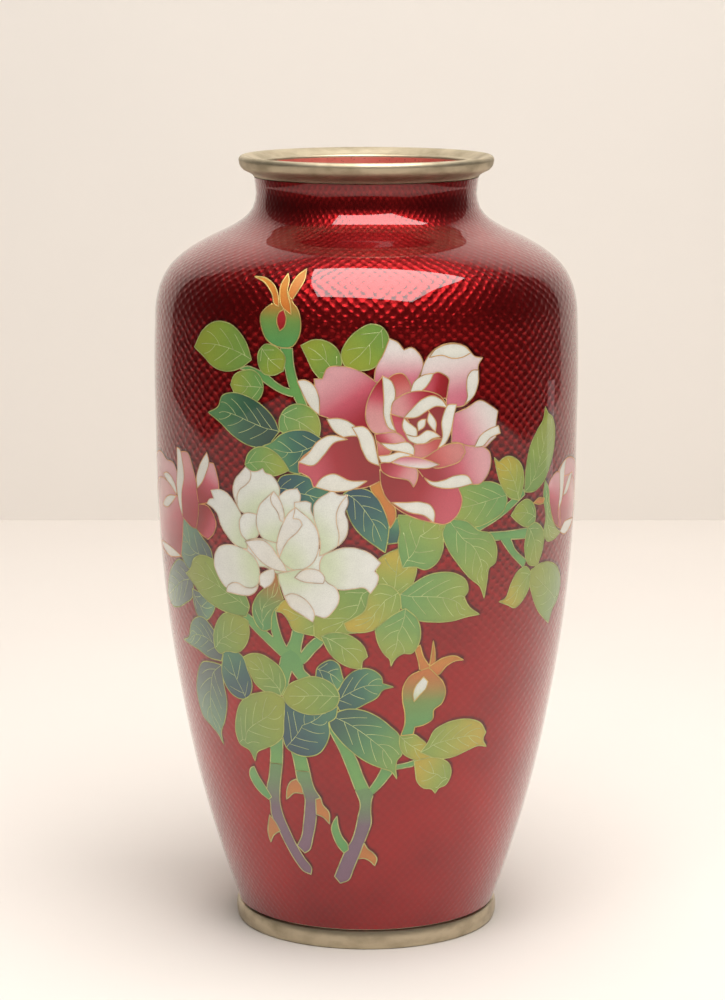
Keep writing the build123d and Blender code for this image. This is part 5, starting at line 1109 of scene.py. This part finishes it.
def new_material(name):
    """A material with its node tree and its Principled shader."""
    material = bpy.data.materials.new(name)
    material.use_nodes = True
    return material, material.node_tree, material.node_tree.nodes["Principled BSDF"]


def add_node(tree, kind, settings=None, inputs=None):
    """A node of that kind, with its settings, and inputs given as values or as sockets to link."""
    node = tree.nodes.new(kind)
    for key, value in (settings or {}).items():
        setattr(node, key, value)
    for key, value in (inputs or {}).items():
        set_input(tree, node, key, value)
    return node


def set_input(tree, node, key, value):
    """Links the value where it is a socket, and sets it where it is a plain value."""
    if isinstance(value, bpy.types.NodeSocket):
        tree.links.new(value, node.inputs[key])
    else:
        node.inputs[key].default_value = value


def set_inputs(tree, shader, **values):
    """Inputs of the shader, by name with underscores for spaces."""
    for key, value in values.items():
        set_input(tree, shader, key.replace("_", " "), value)


def calculate(tree, operation, a, b=0.0):
    return add_node(tree, "ShaderNodeMath", {"operation": operation}, {0: a, 1: b}).outputs[0]


def rescale(tree, value, low, high, to_low, to_high):
    inputs = {"Value": value, "From Min": low, "From Max": high, "To Min": to_low, "To Max": to_high}
    return add_node(tree, "ShaderNodeMapRange", None, inputs).outputs["Result"]


def mix_colours(tree, factor, a, b, blend="MIX"):
    settings = {"data_type": "RGBA", "blend_type": blend}
    return add_node(tree, "ShaderNodeMix", settings, {0: factor, 6: a, 7: b}).outputs[2]


def dimmed(tree, colour, tone):
    """The colour multiplied by a grey tone."""
    grey = add_node(tree, "ShaderNodeCombineColor", None, {0: tone, 1: tone, 2: tone}).outputs[0]
    return mix_colours(tree, 1.0, colour, grey, "MULTIPLY")


def noise(tree, scale, detail=3.0, stretch=None, output="Fac"):
    """Noise in object space, whose scale counts features to the metre."""
    vector = add_node(tree, "ShaderNodeTexCoord").outputs["Object"]
    if stretch:
        vector = add_node(tree, "ShaderNodeMapping", None, {"Vector": vector, "Scale": stretch}).outputs[0]
    return add_node(tree, "ShaderNodeTexNoise", None,
                    {"Vector": vector, "Scale": scale, "Detail": detail}).outputs[output]


def varied(tree, scale, low, high, detail=3.0):
    """A value that wanders between low and high with the noise."""
    return rescale(tree, noise(tree, scale, detail), 0.3, 0.7, low, high)


def bump(tree, height, distance, strength=1.0):
    inputs = {"Height": height, "Distance": distance, "Strength": strength}
    return add_node(tree, "ShaderNodeBump", None, inputs).outputs["Normal"]


def attribute(tree, name, output="Fac"):
    return add_node(tree, "ShaderNodeAttribute", {"attribute_name": name}).outputs[output]


def enamel_material(name):
    """Opalescent enamel: its own shaded colour, a fine grain, painted shade along the wires, under a polish.
    """
    material, tree, shader = new_material(name)
    colour = attribute(tree, "enamel_colour", "Color")
    grain = varied(tree, 3200, 0.93, 1.06, 2.0)
    # Painted shade: the enamel's colour darkened near the wires, from the edge attribute
    shade = rescale(tree, attribute(tree, "edge"), 0.0, 1.0, 1.0, 0.86)
    clouds = calculate(tree, "MULTIPLY", varied(tree, 260, 0.97, 1.04), grain)
    tone = calculate(tree, "MULTIPLY", clouds, shade)
    set_inputs(tree, shader, Base_Color=dimmed(tree, colour, tone),
               Roughness=rescale(tree, grain, 0.9, 1.08, 0.36, 0.48),
               Coat_Weight=1.0, Coat_Roughness=varied(tree, 90, 0.025, 0.05), Coat_IOR=POLISH_IOR,
               Normal=bump(tree, noise(tree, 1500), 0.00006, 0.35))
    return material


def foil_dimples(tree):
    """The embossed lattice (-1 to 1) of staggered dimples, and its relief, faint at the foot and neck."""
    place = add_node(tree, "ShaderNodeUVMap", {"uv_map": "wall_mm"}).outputs[0]
    uneven = add_node(tree, "ShaderNodeVectorMath", {"operation": "MULTIPLY_ADD"}, {
        0: noise(tree, 210, 2.0, output="Color"), 1: (HAMMER_DRIFT, HAMMER_DRIFT, 0), 2: place}).outputs[0]
    split = add_node(tree, "ShaderNodeSeparateXYZ", None, {0: uneven})
    waves = [calculate(tree, "COSINE", calculate(tree, "MULTIPLY", split.outputs[axis], 2 * math.pi / pitch))
             for axis, pitch in ((0, DIMPLE_PITCH), (1, DIMPLE_ROW))]
    lattice = calculate(tree, "MULTIPLY", *waves)
    domes = calculate(tree, "POWER", rescale(tree, lattice, -1.0, 1.0, 0.0, 1.0), 2.2)
    strength = calculate(tree, "MULTIPLY",
                         rescale(tree, split.outputs[1], FOIL_FAINT_BELOW, FOIL_FULL_ABOVE, 0.35, 1.0),
                         rescale(tree, split.outputs[1], SHOULDER_RUN, NECK_RUN, 1.0, 0.35))
    return lattice, calculate(tree, "MULTIPLY", domes, strength)


def ground_material():
    """Transparent red enamel over embossed foil, with painted shade in the foil's valleys and painted
    shadows of the wires.
    """
    material, tree, shader = new_material("ruby_enamel_over_foil")
    lattice, domes = foil_dimples(tree)
    wrinkle = noise(tree, 700, 2.0)
    height = calculate(tree, "ADD", domes, calculate(tree, "MULTIPLY", wrinkle, 0.12))
    ruby = mix_colours(tree, varied(tree, 45, 0.0, 1.0), linear(DEEP_RUBY), linear(CLEAR_RUBY))
    # Painted shadows of the wires on the ground, from the edge attribute
    shade = rescale(tree, attribute(tree, "edge"), 0.15, 0.85, 1.0, 0.22)
    # Painted shade in the valleys between the foil's dimples
    valley_shade = rescale(tree, lattice, -0.7, 0.7, 0.88, 1.0)
    tone = calculate(tree, "MULTIPLY", shade, valley_shade)
    set_inputs(tree, shader, Base_Color=dimmed(tree, ruby, tone), Metallic=0.85,
               Roughness=rescale(tree, wrinkle, 0.3, 0.7, 0.30, 0.40),
               Normal=bump(tree, height, FOIL_RELIEF * MM),
               Coat_Weight=1.0, Coat_Roughness=varied(tree, 90, 0.02, 0.04), Coat_IOR=POLISH_IOR)
    return material


def metal_material(name, colour, worn, roughness, lines):
    """Plated metal with turning marks around it, faint cloudy wear and fine scratches."""
    material, tree, shader = new_material(name)
    wear = noise(tree, 120, 5.0, stretch=(1.0, 1.0, 2.0))
    turned = noise(tree, lines, 2.0, stretch=(0.01, 0.01, 1.0))
    scratches = noise(tree, 1800, 4.0, stretch=(0.2, 0.2, 1.0))
    base = mix_colours(tree, rescale(tree, wear, 0.42, 0.72, 0.0, 0.7), linear(colour), linear(worn))
    rough = calculate(tree, "ADD", rescale(tree, wear, 0.3, 0.7, roughness - 0.04, roughness + 0.08),
                      rescale(tree, scratches, 0.4, 0.7, 0.0, 0.05))
    set_inputs(tree, shader, Base_Color=base, Metallic=1.0, Roughness=rough,
               Normal=bump(tree, turned, 0.00002, 0.5))
    return material


def wire_material(name, colour):
    """Drawn silver wire ground flush with the enamel, tarnished a little in places."""
    material, tree, shader = new_material(name)
    tarnish = rescale(tree, noise(tree, 320, 4.0), 0.4, 0.7, 0.0, 0.65)
    dull = tuple(c * 0.62 for c in colour)
    base = mix_colours(tree, tarnish, linear(colour), linear(dull))
    set_inputs(tree, shader, Base_Color=base, Metallic=0.45, Roughness=varied(tree, 2600, 0.36, 0.50, 2.0),
               Normal=bump(tree, noise(tree, 4200, 2.0), 0.00002, 0.4))
    return material


def plain_enamel_material(name, light, deep):
    """Fired enamel of one colour, pooled darker in places, with small pits and a gloss."""
    material, tree, shader = new_material(name)
    pooled = rescale(tree, noise(tree, 60, 4.0), 0.35, 0.7, 0.0, 1.0)
    specks = rescale(tree, noise(tree, 1400, 2.0), 0.62, 0.72, 0.0, 0.5)
    base = mix_colours(tree, pooled, linear(light), linear(deep))
    base = mix_colours(tree, specks, base, linear(tuple(c * 0.5 for c in deep)))
    set_inputs(tree, shader, Base_Color=base, Roughness=0.30, Coat_Weight=0.8,
               Coat_Roughness=varied(tree, 200, 0.05, 0.12),
               Normal=bump(tree, noise(tree, 500), 0.0001, 0.35))
    return material


# ---------------------------------------------------------------- the vase

def dress(piece, node, material):
    """The piece stands for a CAD node and rides with the vase."""
    piece.data.materials.clear()
    piece.data.materials.append(material)
    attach(piece, "root")
    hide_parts(node)


def wire_paths(outlines):
    """The visible runs of the outlines, under their wires' nodes, and of the leaves' veins."""
    wires = {}
    veins = []
    for i, (node, _, _, _) in enumerate(CELLS):
        covers = outlines[i + 1:]
        if node in STEMS:
            covers = covers + [outlines[k] for k in range(i) if CELLS[k][0] in STEMS]
        wires.setdefault(WIRES_OF[node], []).extend(visible_runs(outlines[i], covers, True))
        if node.endswith("_leaves"):
            for path in leaf_veins(outlines[i]):
                veins += visible_runs(path, outlines[i + 1:], False)
    return wires, veins


def build_fills(outlines, verts, triangles, front, edges):
    """A piece for each node of enamel fills."""
    fills = {}
    for i, (node, ramp, shade, _) in enumerate(CELLS):
        used, faces = compact(triangles[front == i])
        if not len(faces):
            continue
        if shade is None and node.endswith("_leaves"):
            midrib = leaf_axis(outlines[i])[2]
            shade = (*midrib[0], *midrib[-1])
        colours = ramp_colour(ramp, shade_position(verts[used], shade, outlines[i]))
        # edges holds the painted shade along the wires at each point
        fills.setdefault(node, []).append((verts[used], faces, colours, edges[used]))
    for node, cells in fills.items():
        design, faces, colours, cell_wire_shades = joined(cells)
        piece = enamel_piece(node + "_enamel", design, faces, {"enamel_colour": colours, "edge": cell_wire_shades})
        dress(piece, node, enamel_material(node + "_enamel"))


def build_inlay():
    """The enamel fills of each node, the ground, the wires and the veins."""
    outlines = [smooth_outline(points) for _, _, _, points in CELLS]
    verts, triangles, front = partition(outlines)
    wires, veins = wire_paths(outlines)
    runs = [run for node_runs in wires.values() for run in node_runs]
    # Painted shade along the wires, for the enamel fills
    edges = edge_shade(verts, runs, (0, 0), WIRE_SHADE_REACH)
    build_fills(outlines, verts, triangles, front, edges)
    # Painted shadows that the wires cast on the ground, with half the painted shade along them
    shadows = np.maximum(edge_shade(verts, runs, SHADOW_SHIFT, SHADOW_REACH), 0.5 * edges)
    used, faces = compact(triangles[front == -1])
    ground = enamel_piece("ruby_ground", verts[used], faces, {"edge": shadows[used]})
    dress(ground, "red_ground_enamel", ground_material())
    for node, node_runs in wires.items():
        silver = wire_material(node + "_silver", WIRES[node][0])
        dress(wire_piece(node + "_silver", node_runs, WIRE_WIDTH, WIRE_RISE), node, silver)
    vein_wires = wire_piece("leaf_vein_wires", veins, VEIN_WIDTH, VEIN_RISE)
    vein_wires.data.materials.append(wire_material("leaf_vein_silver", VEIN_COLOUR))
    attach(vein_wires, "root")


def joined(cells):
    """Several cells' points, triangles, colours and painted wire shade values as one set."""
    starts = np.cumsum([0] + [len(cell[0]) for cell in cells])
    triangles = np.vstack([cell[1] + start for cell, start in zip(cells, starts)])
    return (np.vstack([cell[0] for cell in cells]), triangles,
            np.vstack([cell[2] for cell in cells]), np.concatenate([cell[3] for cell in cells]))


def edge_shade(points, runs, shift, reach):
    """A mask for painted shade: 1 at a wire moved by shift, falling to 0 at reach from it."""
    samples = np.vstack(runs) + np.array(shift)
    tree = KDTree(len(samples))
    for i, (x, z) in enumerate(samples):
        tree.insert((x, z, 0), i)
    tree.balance()
    gaps = np.array([tree.find((x, z, 0))[2] for x, z in points])
    return np.clip(1 - gaps / reach, 0, 1)


def build_rings():
    """The rings and the plain enamels, and materials for the CAD meshes of the body and the foil."""
    dress(foot_ring(), "foot_ring", metal_material("plated_foot", PALE_GOLD, WORN_GOLD, 0.34, 2400))
    dress(mouth_ring(), "mouth_ring", metal_material("plated_mouth", PALE_GOLD, WORN_GOLD, 0.50, 2400))
    dress(lining(), "counter_enamel", plain_enamel_material("coral_counter_enamel", *CORAL))
    dress(base_disc(), "base_enamel", plain_enamel_material("ruby_base_enamel", *DARK_RUBY))
    copper = metal_material("copper", *COPPER, 0.38, 900)
    foil = metal_material("embossed_foil", *SILVER, 0.25, 300)
    for node, material in (("copper_body", copper), ("silver_foil", foil)):
        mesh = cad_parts[node].data
        mesh.materials.clear()
        mesh.materials.append(material)


# ---------------------------------------------------------------- the studio

def sheet(name, corners, material):
    """A flat four-cornered board of the stage."""
    mesh = bpy.data.meshes.new(name)
    mesh.from_pydata(corners, [], [(0, 1, 2, 3)])
    mesh.materials.append(material)
    link_mesh(name, mesh)


def matte(name, colour):
    """Painted board with a slight unevenness."""
    material, tree, shader = new_material(name)
    darker = linear(tuple(c * 0.985 for c in colour))
    base = mix_colours(tree, varied(tree, 3.0, 0.0, 1.0), linear(colour), darker)
    set_inputs(tree, shader, Base_Color=base, Roughness=0.75, Specular_IOR_Level=0.2)
    return material


def build_stage():
    left, right, front, back = -STAGE_SIDE, STAGE_SIDE, -STAGE_SIDE, STAGE_BACK
    sheet("table", [(left, front, 0), (right, front, 0), (right, back, 0), (left, back, 0)],
          matte("table_paper", (0.925, 0.895, 0.865)))
    sheet("backdrop", [(left, back, 0), (right, back, 0), (right, back, STAGE_TOP), (left, back, STAGE_TOP)],
          matte("backdrop_paper", (0.945, 0.92, 0.89)))


def area_light(name, azimuth, elevation, roll, distance, width, height, power, colour=(1, 1, 1)):
    """A rectangular soft light aimed at the shoulder of the vase: azimuth 0 is in front of it."""
    light = bpy.data.lights.new(name, "AREA")
    light.shape = "RECTANGLE"
    light.size = width
    light.size_y = height
    light.energy = power
    light.color = colour
    holder = bpy.data.objects.new(name, light)
    bpy.context.scene.collection.objects.link(holder)
    around, lift = math.radians(azimuth), math.radians(elevation)
    towards = Vector((math.sin(around) * math.cos(lift), -math.cos(around) * math.cos(lift), math.sin(lift)))
    holder.location = Vector(LIGHT_TARGET) + towards * distance
    turned = towards.to_track_quat("Z", "Y") @ Quaternion((0, 0, 1), math.radians(roll))
    holder.rotation_euler = turned.to_euler()
    return holder


def build_lights():
    area_light("key_softbox", azimuth=15, elevation=71, roll=-24, distance=1.1, width=1.04, height=1.19,
               power=25, colour=(1.0, 0.985, 0.965))
    area_light("side_card", azimuth=112, elevation=-13, roll=0, distance=0.5, width=0.06, height=0.06,
               power=0.006)
    wash = area_light("floor_wash", azimuth=180, elevation=60, roll=0, distance=1.5, width=1.6, height=0.7,
                      power=4.0, colour=(1.0, 0.985, 0.96))
    wash.visible_glossy = False
    world = bpy.data.worlds.new("dim_room")
    world.use_nodes = True
    world.node_tree.nodes["Background"].inputs[0].default_value = (0.03, 0.027, 0.025, 1)
    bpy.context.scene.world = world
    bpy.context.scene.view_settings.view_transform = "Standard"


def build_camera():
    data = bpy.data.cameras.new("camera")
    data.lens = CAMERA_LENS
    data.sensor_width = SENSOR_WIDTH
    camera = bpy.data.objects.new("camera", data)
    bpy.context.scene.collection.objects.link(camera)
    camera.location = CAMERA_PLACE
    camera.rotation_euler = (math.radians(90 - CAMERA_TILT), 0, 0)
    bpy.context.scene.camera = camera


build_inlay()
build_rings()
build_stage()
build_lights()
build_camera()
